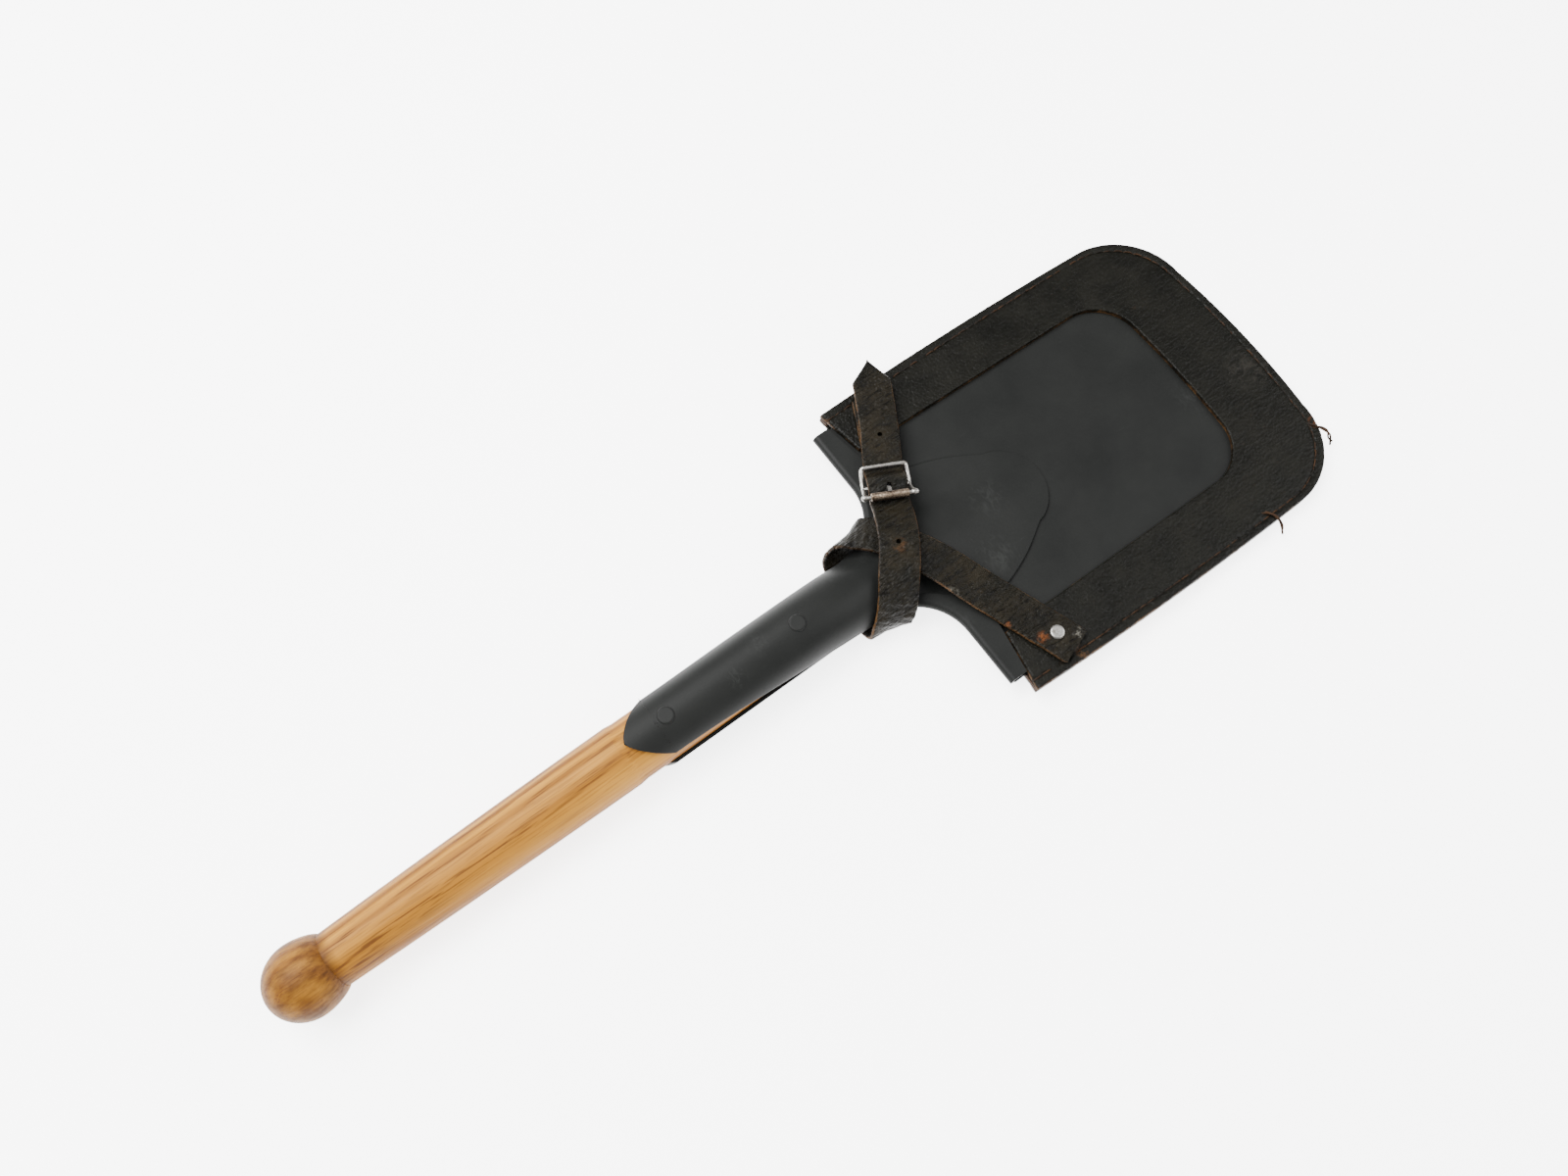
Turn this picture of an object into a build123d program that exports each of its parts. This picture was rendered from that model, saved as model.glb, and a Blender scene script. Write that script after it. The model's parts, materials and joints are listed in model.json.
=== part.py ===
"""Camp shovel: turned wooden handle with a ball knob, pressed steel blade held by two riveted
half sockets, and a leather carrying cover whose long closing strap winds round the neck and
ends in a small roller buckle.

Millimetres, +Z up, +X towards the digging end, lying on its back as on a table. The origin is
under the middle of the whole length, on the table.
"""
import os
from math import cos, radians, sin, sqrt

from build123d import *

# ---- handle and socket -------------------------------------------------------------
AXIS_Z = 17.2  # height of the handle's axis, the knob's radius
KNOB_R = 17.2
KNOB_X = -259.8
KNOB_BACK = 21.0  # how far the knob's rear half stretches towards the shaft
SHAFT_R_KNOB = 12.8
SHAFT_R_SOCKET = 15.1
SEAT_R = 14.6  # wood inside the socket
WOOD_END = 26.0
WOOD_END_R = 7.5
SOCKET_R = 16.4
STEEL = 1.6  # sheet of the two half sockets
SOCKET_TIP = -96.5
SOCKET_MOUTH = -80.0
SOCKET_END = -2.0
EDGE_GAP = 4.2  # wood showing between the half sockets at their mouth
RIVET_X = (-74.7, -3.6)
RIVET_R = 2.6
RIVET_HEAD_R = 4.1
RIVET_DOME = 0.45

# ---- blade -------------------------------------------------------------------------
SHOULDER_X = 61.8
SHOULDER_Z = 9.1  # underside of the blade at the shoulder
BLADE_CANT = 1.6  # the blade dips towards its digging end, degrees
BLADE_T = 1.8
BLADE_LENGTH = 205.0
BLADE_HALF = 76.3
BLADE_CORNER = 27.0
BLADE_BOW = 2.0
TANG_LENGTH = 31.0
NECK_HALF = 16.5
NECK_ARC = 28.0
TREAD_GAP = 2.0  # air under the folded-over tread
TREAD_END_ANGLE = 26.8  # where the tread runs out along the neck's arc, degrees
TREAD_HALF = 75.8

# ---- leather cover -----------------------------------------------------------------
COVER_TURN = -0.92  # the cover sits a little askew on the blade, degrees
COVER_SHIFT = 1.6
PANEL_T = 2.4
FRAME_T = 2.5
POCKET_CLEARANCE = 0.3
OUTLINE_SHIFT = -1.95  # the stitched edge is not quite centred on the pocket
COVER_MOUTH = 9.3
COVER_MOUTH_INNER = 14.1  # the legs of the front frame are cut on a slant
COVER_LENGTH = 214.0
COVER_HALF_MOUTH = 84.9
COVER_HALF_MIDDLE = 86.6
COVER_HALF_END = 85.3
COVER_CORNER = 38.0
COVER_BOW = 2.6
POCKET_HALF = 78.0
WINDOW_HALF = 56.8
WINDOW_END = 172.0
WINDOW_CORNER = 24.0
SEAM_INSET = 4.6
THREAD = 0.9
THREAD_H = 0.4

# ---- closing strap, buckle ---------------------------------------------------------
STRAP_W = 19.0
STRAP_T = 2.2
BUCKLE_AT = (73.7, 33.6, 24.9)
BUCKLE_ACROSS = (0.89, -0.455, 0.0)
BUCKLE_NORMAL = (0.098, 0.19, 0.977)
BUCKLE_ROLLER_Y = -8.3
BUCKLE_KEEPER_Y = 8.0
BUCKLE_BAR_DROP = 4.5
WIRE_R = 1.0
BEND_SWELL_R = 1.06  # the wire swells a little where it is bent
ROLLER_END_R = 1.7
ROLLER_R = 2.1
ROLLER_LENGTH = 18.5
RUNNING_GAP = 0.06
CHAPE_W = 15.0
CHAPE_T = 1.5
LEG_RIVET = (32.9, -71.0)
LOOP_W = 32.0
LOOP_T = 1.8
LOOP_START = 14.0
LOOP_LENGTH = 74.0
LOOP_FOOT = 13.0
LOOP_RISE = 8.0
LOOP_GAP = 1.9
LOOP_ACROSS = 42.0
CHAPE_RIVET_S = 41.0

os.makedirs("parts", exist_ok=True)

HANDLE_SIDE = Plane(origin=(0, 0, AXIS_Z), x_dir=(1, 0, 0), z_dir=(0, -1, 0))
HANDLE_AXIS = Axis((0, 0, AXIS_Z), (1, 0, 0))
CANT = radians(BLADE_CANT)
BLADE = Plane(
    origin=(SHOULDER_X, 0, SHOULDER_Z),
    x_dir=(cos(CANT), 0, -sin(CANT)),
    z_dir=(sin(CANT), 0, cos(CANT)),
)
TURN = radians(COVER_TURN)
COVER = Plane(
    origin=BLADE.from_local_coords((0, COVER_SHIFT, 0)),
    x_dir=BLADE.from_local_coords((cos(TURN), sin(TURN), 0)) - BLADE.origin,
    z_dir=BLADE.z_dir,
)
FRAME_BOTTOM = BLADE_T + POCKET_CLEARANCE
FRAME_TOP = FRAME_BOTTOM + FRAME_T
PANEL_TOP = -POCKET_CLEARANCE
PANEL_BOTTOM = PANEL_TOP - PANEL_T


def save(part, name):
    """Label a finished piece and write it as a STEP file."""
    part.label = name
    export_step(part, f"parts/{name}.step")


def rounded_end(halves, start, length, corner, bow, inner_start=None, shift=0.0):
    """Closed outline: an open mouth, two sides, two round corners and a bowed end.

    The half widths are those at the mouth, midway along the sides and where the corners start.
    """
    first = start if inner_start is None else inner_start
    mouth_half, middle_half, end_half = halves
    corner_start = length - corner - bow
    middle = (start + corner_start) / 2
    cut = corner * (1 - sqrt(0.5))
    near = (length - bow, shift + end_half - corner)
    far = (length - bow, shift - end_half + corner)
    Line((first, shift), (start, shift + mouth_half))
    Spline((start, shift + mouth_half), (middle, shift + middle_half), (corner_start, shift + end_half))
    ThreePointArc(
        (corner_start, shift + end_half), (length - bow - cut, shift + end_half - cut), near
    )
    ThreePointArc(near, (length, shift), far)
    ThreePointArc(
        far, (length - bow - cut, shift - end_half + cut), (corner_start, shift - end_half)
    )
    Spline((corner_start, shift - end_half), (middle, shift - middle_half), (start, shift - mouth_half))
    Line((start, shift - mouth_half), (first, shift))


# ---- rivets through socket and wood ------------------------------------------------
with BuildPart() as handle_rivets:
    head_seat = SOCKET_R - 0.9
    head_height = 0.9 + RIVET_DOME
    for rivet_x in RIVET_X:
        for direction in (1, -1):
            seat = Plane(
                origin=(rivet_x, 0, AXIS_Z + direction * head_seat), x_dir=(1, 0, 0),
                z_dir=(0, 0, direction),
            )
            with BuildSketch(seat):
                Circle(RIVET_HEAD_R)
            extrude(amount=head_height)
        with BuildSketch(Plane(origin=(rivet_x, 0, AXIS_Z - head_seat))):
            Circle(RIVET_R)
        extrude(amount=2 * head_seat)
    domes = handle_rivets.edges().filter_by(GeomType.CIRCLE).filter_by(
        lambda edge: abs(edge.center().Z - AXIS_Z) > head_seat + head_height / 2
    )
    fillet(domes, radius=0.95)
save(handle_rivets.part, "handle_rivets")

# ---- handle: one turned piece with its ball knob -----------------------------------
with BuildPart() as handle:
    with BuildSketch(HANDLE_SIDE) as handle_profile:
        with BuildLine():
            step_x = KNOB_X + KNOB_BACK * sqrt(1 - (13.0 / KNOB_R) ** 2)
            ThreePointArc(
                (KNOB_X - KNOB_R, 0),
                (KNOB_X - KNOB_R * sqrt(0.5), KNOB_R * sqrt(0.5)),
                (KNOB_X, KNOB_R),
            )
            Spline(
                (KNOB_X, KNOB_R),
                (KNOB_X + KNOB_BACK * 0.4, KNOB_R * sqrt(1 - 0.16)),
                (step_x, 13.0),
                tangents=((1, 0), (0.75, -0.66)),
            )
            Polyline((step_x, 13.0), (step_x, SHAFT_R_KNOB), (step_x + 1.0, SHAFT_R_KNOB))
            Spline(
                (step_x + 1.0, SHAFT_R_KNOB),
                (-180.0, 14.2),
                (-100.0, SHAFT_R_SOCKET),
                tangents=((1, 0.03), (1, 0.005)),
            )
            Polyline((-100.0, SHAFT_R_SOCKET), (-96.0, SEAT_R), (-8.0, SEAT_R))
            Polyline((-8.0, SEAT_R), (WOOD_END, WOOD_END_R), (WOOD_END, 0), (KNOB_X - KNOB_R, 0))
        make_face()
    revolve(axis=HANDLE_AXIS)
    add(handle_rivets.part, mode=Mode.SUBTRACT)
save(handle.part, "handle")

# ---- blade: one pressed sheet with folded-over treads on both shoulders -------------
BEND_R = BLADE_T + TREAD_GAP / 2
NECK_CENTRE = (-NECK_ARC, NECK_HALF + NECK_ARC)
FOLD_ARC = NECK_ARC + BEND_R
FOLD_SWEEP = 90 - TREAD_END_ANGLE


def on_arc(radius, angle, side):
    """Point on an arc about the neck's centre, the angle counted from straight inwards."""
    across = NECK_CENTRE[1] - radius * cos(radians(angle))
    return (NECK_CENTRE[0] + radius * sin(radians(angle)), side * across)


with BuildPart() as blade:
    with BuildSketch(BLADE) as blade_outline:
        with BuildLine():
            Line((-TANG_LENGTH, 0), (-TANG_LENGTH, NECK_HALF))
            Line((-TANG_LENGTH, NECK_HALF), (-NECK_ARC, NECK_HALF))
            ThreePointArc(
                (-NECK_ARC, NECK_HALF),
                on_arc(NECK_ARC, TREAD_END_ANGLE / 2, 1),
                on_arc(NECK_ARC, TREAD_END_ANGLE, 1),
            )
            Line(on_arc(NECK_ARC, TREAD_END_ANGLE, 1), on_arc(FOLD_ARC, TREAD_END_ANGLE, 1))
            ThreePointArc(
                on_arc(FOLD_ARC, TREAD_END_ANGLE, 1), on_arc(FOLD_ARC, 58, 1), on_arc(FOLD_ARC, 90, 1)
            )
            Line(on_arc(FOLD_ARC, 90, 1), (BEND_R, BLADE_HALF))
            Line((BEND_R, BLADE_HALF), (BLADE_LENGTH - BLADE_CORNER - BLADE_BOW, BLADE_HALF))
            near = (BLADE_LENGTH - BLADE_BOW, BLADE_HALF - BLADE_CORNER)
            cut = BLADE_CORNER * (1 - sqrt(0.5))
            ThreePointArc(
                (BLADE_LENGTH - BLADE_CORNER - BLADE_BOW, BLADE_HALF),
                (near[0] - cut, BLADE_HALF - cut),
                near,
            )
            half_end = (BLADE_LENGTH - BLADE_BOW * (near[1] / 2 / BLADE_HALF) ** 2, near[1] / 2)
            ThreePointArc(near, half_end, (BLADE_LENGTH, 0))
            Line((BLADE_LENGTH, 0), (-TANG_LENGTH, 0))
        make_face()
        mirror(about=Plane.XZ)
    extrude(amount=BLADE_T)
    for side in (1, -1):
        with BuildLine(BLADE.offset(BEND_R)) as fold_path:
            Line((BEND_R, side * TREAD_HALF), on_arc(FOLD_ARC, 90, side))
            ThreePointArc(
                on_arc(FOLD_ARC, 90, side),
                on_arc(FOLD_ARC, 58, side),
                on_arc(FOLD_ARC, TREAD_END_ANGLE, side),
            )
        fold_start = Plane(
            origin=BLADE.from_local_coords((BEND_R, side * TREAD_HALF, BEND_R)),
            x_dir=-BLADE.x_dir,
            z_dir=(0, -side, 0),
        )
        with BuildSketch(fold_start) as fold_section:
            Circle(BEND_R)
            Circle(BEND_R - BLADE_T, mode=Mode.SUBTRACT)
            Rectangle(BEND_R, 2 * BEND_R, align=(Align.MAX, Align.CENTER), mode=Mode.SUBTRACT)
        sweep(sections=fold_section.sketch, path=fold_path.wires()[0])
        with BuildSketch(BLADE.offset(2 * BEND_R - BLADE_T)) as tread_flap:
            with BuildLine():
                Polyline((BEND_R, side * TREAD_HALF), (8.9, side * TREAD_HALF), (12.9, side * 52))
                Spline(
                    (12.9, side * 52),
                    (8.6, side * 33.9),
                    (-2.1, side * 21.7),
                    (-13.2, side * 15.6),
                    tangents=((0.05, -side), (-1, -0.42 * side)),
                )
                Line((-13.2, side * 15.6), on_arc(FOLD_ARC, TREAD_END_ANGLE, side))
                ThreePointArc(
                    on_arc(FOLD_ARC, TREAD_END_ANGLE, side),
                    on_arc(FOLD_ARC, 58, side),
                    on_arc(FOLD_ARC, 90, side),
                )
                Line(on_arc(FOLD_ARC, 90, side), (BEND_R, side * TREAD_HALF))
            make_face()
        extrude(amount=BLADE_T)
save(blade.part, "blade")

# ---- half sockets ------------------------------------------------------------------
# Cross-sections of the two pressed sheets where they leave the round socket: X, half width,
# Z of the arch's feet and Z of its crown. The front sheet's arch runs out as a ridge.
FRONT_ARCHES = (
    (SOCKET_END, SOCKET_R, AXIS_Z, AXIS_Z + SOCKET_R),
    (14.0, 16.8, 15.2, 31.6),
    (28.0, 17.0, 13.0, 28.6),
    (42.0, 16.8, 11.6, 25.0),
    (56.0, 16.0, 10.8, 21.3),
    (72.0, 14.6, 10.4, 17.6),
    (95.0, 11.6, 9.9, 14.0),
    (118.0, 7.0, 9.2, 11.7),
)
BACK_ARCHES = (
    (SOCKET_END, SOCKET_R, AXIS_Z, AXIS_Z - SOCKET_R),
    (12.0, 16.5, 17.0, 1.9),
    (24.0, 16.5, 16.0, 3.6),
    (38.0, 16.3, 13.6, 5.4),
    (52.0, 15.8, 11.8, 6.7),
    (72.0, 14.6, 10.8, 7.1),
)
ARCH_FOOT = 7.0
PARTING_X = 30.4
PARTING_Z = 12.05


def arch_loft(sections, inset):
    """Solid under a row of arches, each set in by the sheet's thickness where asked."""
    with BuildPart() as body:
        for arch_x, half, foot, crown in sections:
            up = 1 if crown > foot else -1
            with BuildSketch(Plane.YZ.offset(arch_x)):
                with BuildLine():
                    side = half - inset
                    ThreePointArc((-side, foot), (0, crown - up * inset), (side, foot))
                    Polyline(
                        (side, foot), (side, foot - up * ARCH_FOOT),
                        (-side, foot - up * ARCH_FOOT), (-side, foot),
                    )
                make_face()
        loft()
    return body.part


def half_tube(side):
    """Half of the round socket, with its ogive mouth and its edges drawn back into a wedge."""
    cut_away = Align.MAX if side > 0 else Align.MIN
    with BuildPart() as tube:
        with BuildSketch(Plane.YZ.offset(SOCKET_TIP - 1)):
            with Locations((0, AXIS_Z)):
                Circle(SOCKET_R)
                Circle(SOCKET_R - STEEL, mode=Mode.SUBTRACT)
                Rectangle(
                    2 * SOCKET_R, SOCKET_R, align=(Align.CENTER, cut_away), mode=Mode.SUBTRACT
                )
        extrude(amount=SOCKET_END - SOCKET_TIP + 1)
        with BuildSketch(HANDLE_SIDE):
            gap = side * EDGE_GAP / 2
            Polygon(
                (SOCKET_TIP - 2, 0), (SOCKET_END - 8, 0), (SOCKET_MOUTH, gap),
                (SOCKET_TIP - 2, gap), align=None,
            )
        extrude(amount=SOCKET_R + 1, both=True, mode=Mode.SUBTRACT)
        with BuildSketch(Plane.XY):
            with BuildLine():
                edge = SOCKET_R + 0.4
                ThreePointArc((SOCKET_TIP, 0), (SOCKET_TIP + 5.4, 8.9), (SOCKET_MOUTH, edge))
                Polyline((SOCKET_MOUTH, edge), (SOCKET_END, edge), (SOCKET_END, -edge))
                Line((SOCKET_END, -edge), (SOCKET_MOUTH, -edge))
                ThreePointArc((SOCKET_MOUTH, -edge), (SOCKET_TIP + 5.4, -8.9), (SOCKET_TIP, 0))
            make_face()
        extrude(amount=60, mode=Mode.INTERSECT)
    return tube.part


BLADE_RUN = 145.0
SIDE_SLOPE = sin(CANT) / cos(CANT)
front_tube = half_tube(1)
back_tube = half_tube(-1)

with BuildPart() as front_strap:
    add(arch_loft(FRONT_ARCHES, 0))
    with BuildSketch(BLADE.offset(BLADE_T + 0.03)):
        Rectangle(BLADE_RUN, 90, align=(Align.MIN, Align.CENTER))
        with Locations((-24, 0)):
            Rectangle(24.5, 60, align=(Align.MIN, Align.CENTER))
    extrude(amount=STEEL)
    add(arch_loft(FRONT_ARCHES, STEEL), mode=Mode.SUBTRACT)
    with BuildSketch(HANDLE_SIDE) as above_parting:
        low = PARTING_Z - AXIS_Z
        Polygon(
            (SOCKET_END, 0), (PARTING_X, low),
            (PARTING_X + 120, low - 120 * SIDE_SLOPE), (PARTING_X + 120, 20), (SOCKET_END, 20),
            align=None,
        )
    extrude(amount=50, both=True, mode=Mode.INTERSECT)
    with BuildSketch(Plane.XY) as hood_outline:
        with BuildLine():
            Line((SOCKET_END, 0), (SOCKET_END, 17.2))
            Line((SOCKET_END, 17.2), (33.8, 17.2))
            Spline((33.8, 17.2), (55.5, 22.6), (75.0, 38.6), tangents=((1, 0), (1, 0.1)))
            Spline(
                (75.0, 38.6), (94.5, 36.6), (125.4, 21.6), (142.0, 0),
                tangents=((1, 0.1), (0, -1)),
            )
            Line((142.0, 0), (SOCKET_END, 0))
        make_face()
        mirror(about=Plane.XZ)
    extrude(amount=60, mode=Mode.INTERSECT)
    add(front_tube)
    add(handle_rivets.part, mode=Mode.SUBTRACT)
    add(blade.part, mode=Mode.SUBTRACT)
save(front_strap.part, "front_strap")

with BuildPart() as back_strap:
    add(arch_loft(BACK_ARCHES, 0))
    add(arch_loft(BACK_ARCHES, STEEL), mode=Mode.SUBTRACT)
    with BuildSketch(HANDLE_SIDE) as below_parting:
        under = SHOULDER_Z - AXIS_Z - 0.03
        Polygon(
            (SOCKET_END, 0), (PARTING_X, PARTING_Z - AXIS_Z - 0.05),
            (PARTING_X, under + (SHOULDER_X - PARTING_X) * SIDE_SLOPE),
            (SHOULDER_X + 20, under - 20 * SIDE_SLOPE), (SHOULDER_X + 20, -20),
            (SOCKET_END, -20), align=None,
        )
    extrude(amount=50, both=True, mode=Mode.INTERSECT)
    with BuildSketch(Plane.XY) as tail_outline:
        with BuildLine():
            Line((SOCKET_END, 0), (SOCKET_END, 16.6))
            Line((SOCKET_END, 16.6), (44.0, 15.6))
            ThreePointArc((44.0, 15.6), (63.0, 10.0), (69.0, 0))
            Line((69.0, 0), (SOCKET_END, 0))
        make_face()
        mirror(about=Plane.XZ)
    extrude(amount=60, mode=Mode.INTERSECT)
    add(back_tube)
    add(handle_rivets.part, mode=Mode.SUBTRACT)
    add(blade.part, mode=Mode.SUBTRACT)
save(back_strap.part, "back_strap")

# ---- leather cover: back panel, welt and the frame with its window ------------------
def cover_leather(bottom, thickness, mouth_inner=None, pocket=False, window=False):
    """One leather layer of the cover, cut to the shared outline."""
    with BuildPart() as layer:
        with BuildSketch(COVER.offset(bottom)):
            with BuildLine():
                rounded_end(
                    (COVER_HALF_MOUTH, COVER_HALF_MIDDLE, COVER_HALF_END), COVER_MOUTH,
                    COVER_LENGTH, COVER_CORNER, COVER_BOW, mouth_inner, OUTLINE_SHIFT,
                )
            make_face()
            if pocket:
                with BuildLine():
                    rounded_end(
                        (POCKET_HALF, POCKET_HALF, POCKET_HALF), -30, BLADE_LENGTH + 2.2,
                        BLADE_CORNER, BLADE_BOW,
                    )
                make_face(mode=Mode.SUBTRACT)
            if window:
                with BuildLine():
                    rounded_end(
                        (WINDOW_HALF, WINDOW_HALF - 0.4, WINDOW_HALF - 0.8), -30, WINDOW_END,
                        WINDOW_CORNER, 1.0,
                    )
                make_face(mode=Mode.SUBTRACT)
        extrude(amount=thickness)
    return layer.part


def seam(bottom):
    """A run of thread round the three sewn sides, seen as one low bead."""
    with BuildPart() as run:
        with BuildSketch(COVER.offset(bottom)):
            for inset, mode in ((SEAM_INSET, Mode.ADD), (SEAM_INSET + THREAD, Mode.SUBTRACT)):
                with BuildLine():
                    rounded_end(
                        (COVER_HALF_MOUTH - inset, COVER_HALF_MIDDLE - inset, COVER_HALF_END - inset),
                        COVER_MOUTH + (2 if mode == Mode.ADD else -9), COVER_LENGTH - inset,
                        COVER_CORNER - inset, COVER_BOW, shift=OUTLINE_SHIFT,
                    )
                make_face(mode=mode)
        extrude(amount=THREAD_H)
    return run.part


strap_rivet_plane = COVER.offset(FRAME_BOTTOM + 0.05)
with BuildPart() as strap_rivet:
    with BuildSketch(strap_rivet_plane):
        with Locations(LEG_RIVET):
            Circle(3.0)
    extrude(amount=0.5)
    with BuildSketch(strap_rivet_plane):
        with Locations(LEG_RIVET):
            Circle(1.6)
    extrude(amount=FRAME_T + STRAP_T + 0.1)
    with BuildSketch(COVER.offset(FRAME_TOP + STRAP_T + 0.1)):
        with Locations(LEG_RIVET):
            Circle(3.6)
    extrude(amount=1.3)
    crown = strap_rivet.faces().sort_by(Axis(COVER.origin, COVER.z_dir))[-1]
    fillet(crown.edges(), radius=1.1)
save(strap_rivet.part, "strap_rivet")

# ---- buckle: bent wire frame, roller and prong -------------------------------------
BUCKLE = Plane(origin=BUCKLE_AT, x_dir=BUCKLE_ACROSS, z_dir=BUCKLE_NORMAL)
BAR = BUCKLE.offset(-BUCKLE_BAR_DROP)
FRAME_CORNERS = (
    (-11.6, BUCKLE_ROLLER_Y, 0), (11.6, BUCKLE_ROLLER_Y, 0), (11.3, 0, -BUCKLE_BAR_DROP),
    (10.9, BUCKLE_KEEPER_Y, 0), (-10.9, BUCKLE_KEEPER_Y, 0), (-11.3, 0, -BUCKLE_BAR_DROP),
)
with BuildPart() as buckle_frame:
    corners = [Vector(*BUCKLE.from_local_coords(corner)) for corner in FRAME_CORNERS]
    runs = list(zip(corners, corners[1:] + corners[:1])) + [(corners[2], corners[5])]
    for run_start, run_end in runs:
        along = run_end - run_start
        with BuildSketch(Plane(origin=run_start, z_dir=along)):
            Circle(WIRE_R)
        extrude(amount=along.length)
        with Locations(run_start):
            Sphere(ROLLER_END_R if run_start in corners[:2] else BEND_SWELL_R)
save(buckle_frame.part, "buckle_frame")

roller_axis = Plane(
    origin=BUCKLE.from_local_coords((-ROLLER_LENGTH / 2, BUCKLE_ROLLER_Y, 0)), z_dir=BUCKLE.x_dir
)
with BuildPart() as buckle_roller:
    with BuildSketch(roller_axis):
        Circle(ROLLER_R)
        Circle(WIRE_R + RUNNING_GAP, mode=Mode.SUBTRACT)
    extrude(amount=ROLLER_LENGTH)
save(buckle_roller.part, "buckle_roller")

prong_side = Plane(origin=BAR.origin, x_dir=BUCKLE.y_dir, z_dir=BUCKLE.x_dir)
with BuildPart() as buckle_prong:
    with BuildSketch(prong_side):
        Circle(WIRE_R + RUNNING_GAP + 1.2)
        with BuildLine():
            Polyline(
                (-1.4, 0.8), (-4.3, 5.9), (-6.9, 7.6), (-7.6, 6.9), (-5.5, 5.1), (-2.1, -0.6),
                (-1.4, 0.8),
            )
        make_face()
        Circle(WIRE_R + RUNNING_GAP, mode=Mode.SUBTRACT)
    extrude(amount=0.9, both=True)
save(buckle_prong.part, "buckle_prong")

# ---- chape: folded leather that holds the buckle's middle bar ------------------------
CHAPE_ALONG = Vector(0.455, 0.89, 0).normalized()
bar_point = BAR.origin
chape_side = Plane(origin=bar_point, x_dir=CHAPE_ALONG, z_dir=CHAPE_ALONG.cross(Vector(0, 0, 1)))
LOOP_R = WIRE_R + RUNNING_GAP + CHAPE_T
CHAPE_UNDERSIDE = ((5.0, 15.4), (18.0, 15.05), (26.0, 13.55), (49.0, 13.1))  # run, Z
with BuildPart() as buckle_chape:
    with BuildSketch(chape_side):
        Circle(LOOP_R)
        with BuildLine():
            under = [(run, height - bar_point.Z) for run, height in CHAPE_UNDERSIDE]
            over = [(run, height + 2 * CHAPE_T) for run, height in reversed(under)]
            Polyline((0, -LOOP_R + 0.1), *under, *over, (0.8, LOOP_R - 0.6), (0, -LOOP_R + 0.1))
        make_face()
        Circle(WIRE_R + RUNNING_GAP, mode=Mode.SUBTRACT)
    extrude(amount=CHAPE_W / 2, both=True)
    with BuildSketch(chape_side):
        with Locations((-1, 0)):
            Rectangle(9.0, 14.0)
    extrude(amount=1.5, both=True, mode=Mode.SUBTRACT)

with BuildPart() as chape_rivet:
    foot = chape_side.from_local_coords((CHAPE_RIVET_S, 0, 0))
    foot_x, foot_y, _ = COVER.to_local_coords(Vector(*foot))
    with BuildSketch(COVER.offset(FRAME_BOTTOM + 0.05)):
        with Locations((foot_x, foot_y)):
            Circle(3.0)
    extrude(amount=0.5)
    with BuildSketch(COVER.offset(FRAME_BOTTOM + 0.05)):
        with Locations((foot_x, foot_y)):
            Circle(1.6)
    extrude(amount=FRAME_T + 2 * CHAPE_T + 0.2)
    with BuildSketch(COVER.offset(FRAME_TOP + 2 * CHAPE_T + 0.15)):
        with Locations((foot_x, foot_y)):
            Circle(3.4)
    extrude(amount=0.6)
save(chape_rivet.part, "chape_rivet")
with BuildPart() as riveted_chape:
    add(buckle_chape.part)
    add(chape_rivet.part, mode=Mode.SUBTRACT)
save(riveted_chape.part, "buckle_chape")

# ---- cover nodes -------------------------------------------------------------------
SLANT = (COVER_MOUTH_INNER - COVER_MOUTH) / (COVER_HALF_MOUTH - WINDOW_HALF)
MOUTH_AT_MIDDLE = COVER_MOUTH + SLANT * COVER_HALF_MOUTH
with BuildPart() as cover_front_frame:
    add(cover_leather(FRAME_BOTTOM, FRAME_T, MOUTH_AT_MIDDLE, window=True))
    add(strap_rivet.part, mode=Mode.SUBTRACT)
    add(chape_rivet.part, mode=Mode.SUBTRACT)
save(cover_front_frame.part, "cover_front_frame")
save(cover_leather(PANEL_TOP, FRAME_BOTTOM - PANEL_TOP, pocket=True), "cover_welt")
save(seam(FRAME_TOP), "seam_front")
save(seam(PANEL_BOTTOM - THREAD_H), "seam_back")

# ---- belt loops on the cover's back ------------------------------------------------
loop_ends = (LOOP_START + LOOP_FOOT / 2, LOOP_START + LOOP_LENGTH - LOOP_FOOT / 2)
with BuildPart() as loop_rivets:
    for across in (LOOP_ACROSS, -LOOP_ACROSS):
        for along in loop_ends:
            with BuildSketch(COVER.offset(PANEL_TOP - 0.6)):
                with Locations((along, across)):
                    Circle(3.0)
            extrude(amount=0.5)
            with BuildSketch(COVER.offset(PANEL_TOP - 0.6)):
                with Locations((along, across)):
                    Circle(1.6)
            extrude(amount=-(PANEL_T + LOOP_T - 0.5))
            with BuildSketch(COVER.offset(PANEL_BOTTOM - LOOP_T)):
                with Locations((along, across)):
                    Circle(3.6)
            extrude(amount=-0.8)
save(loop_rivets.part, "loop_rivets")
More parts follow.
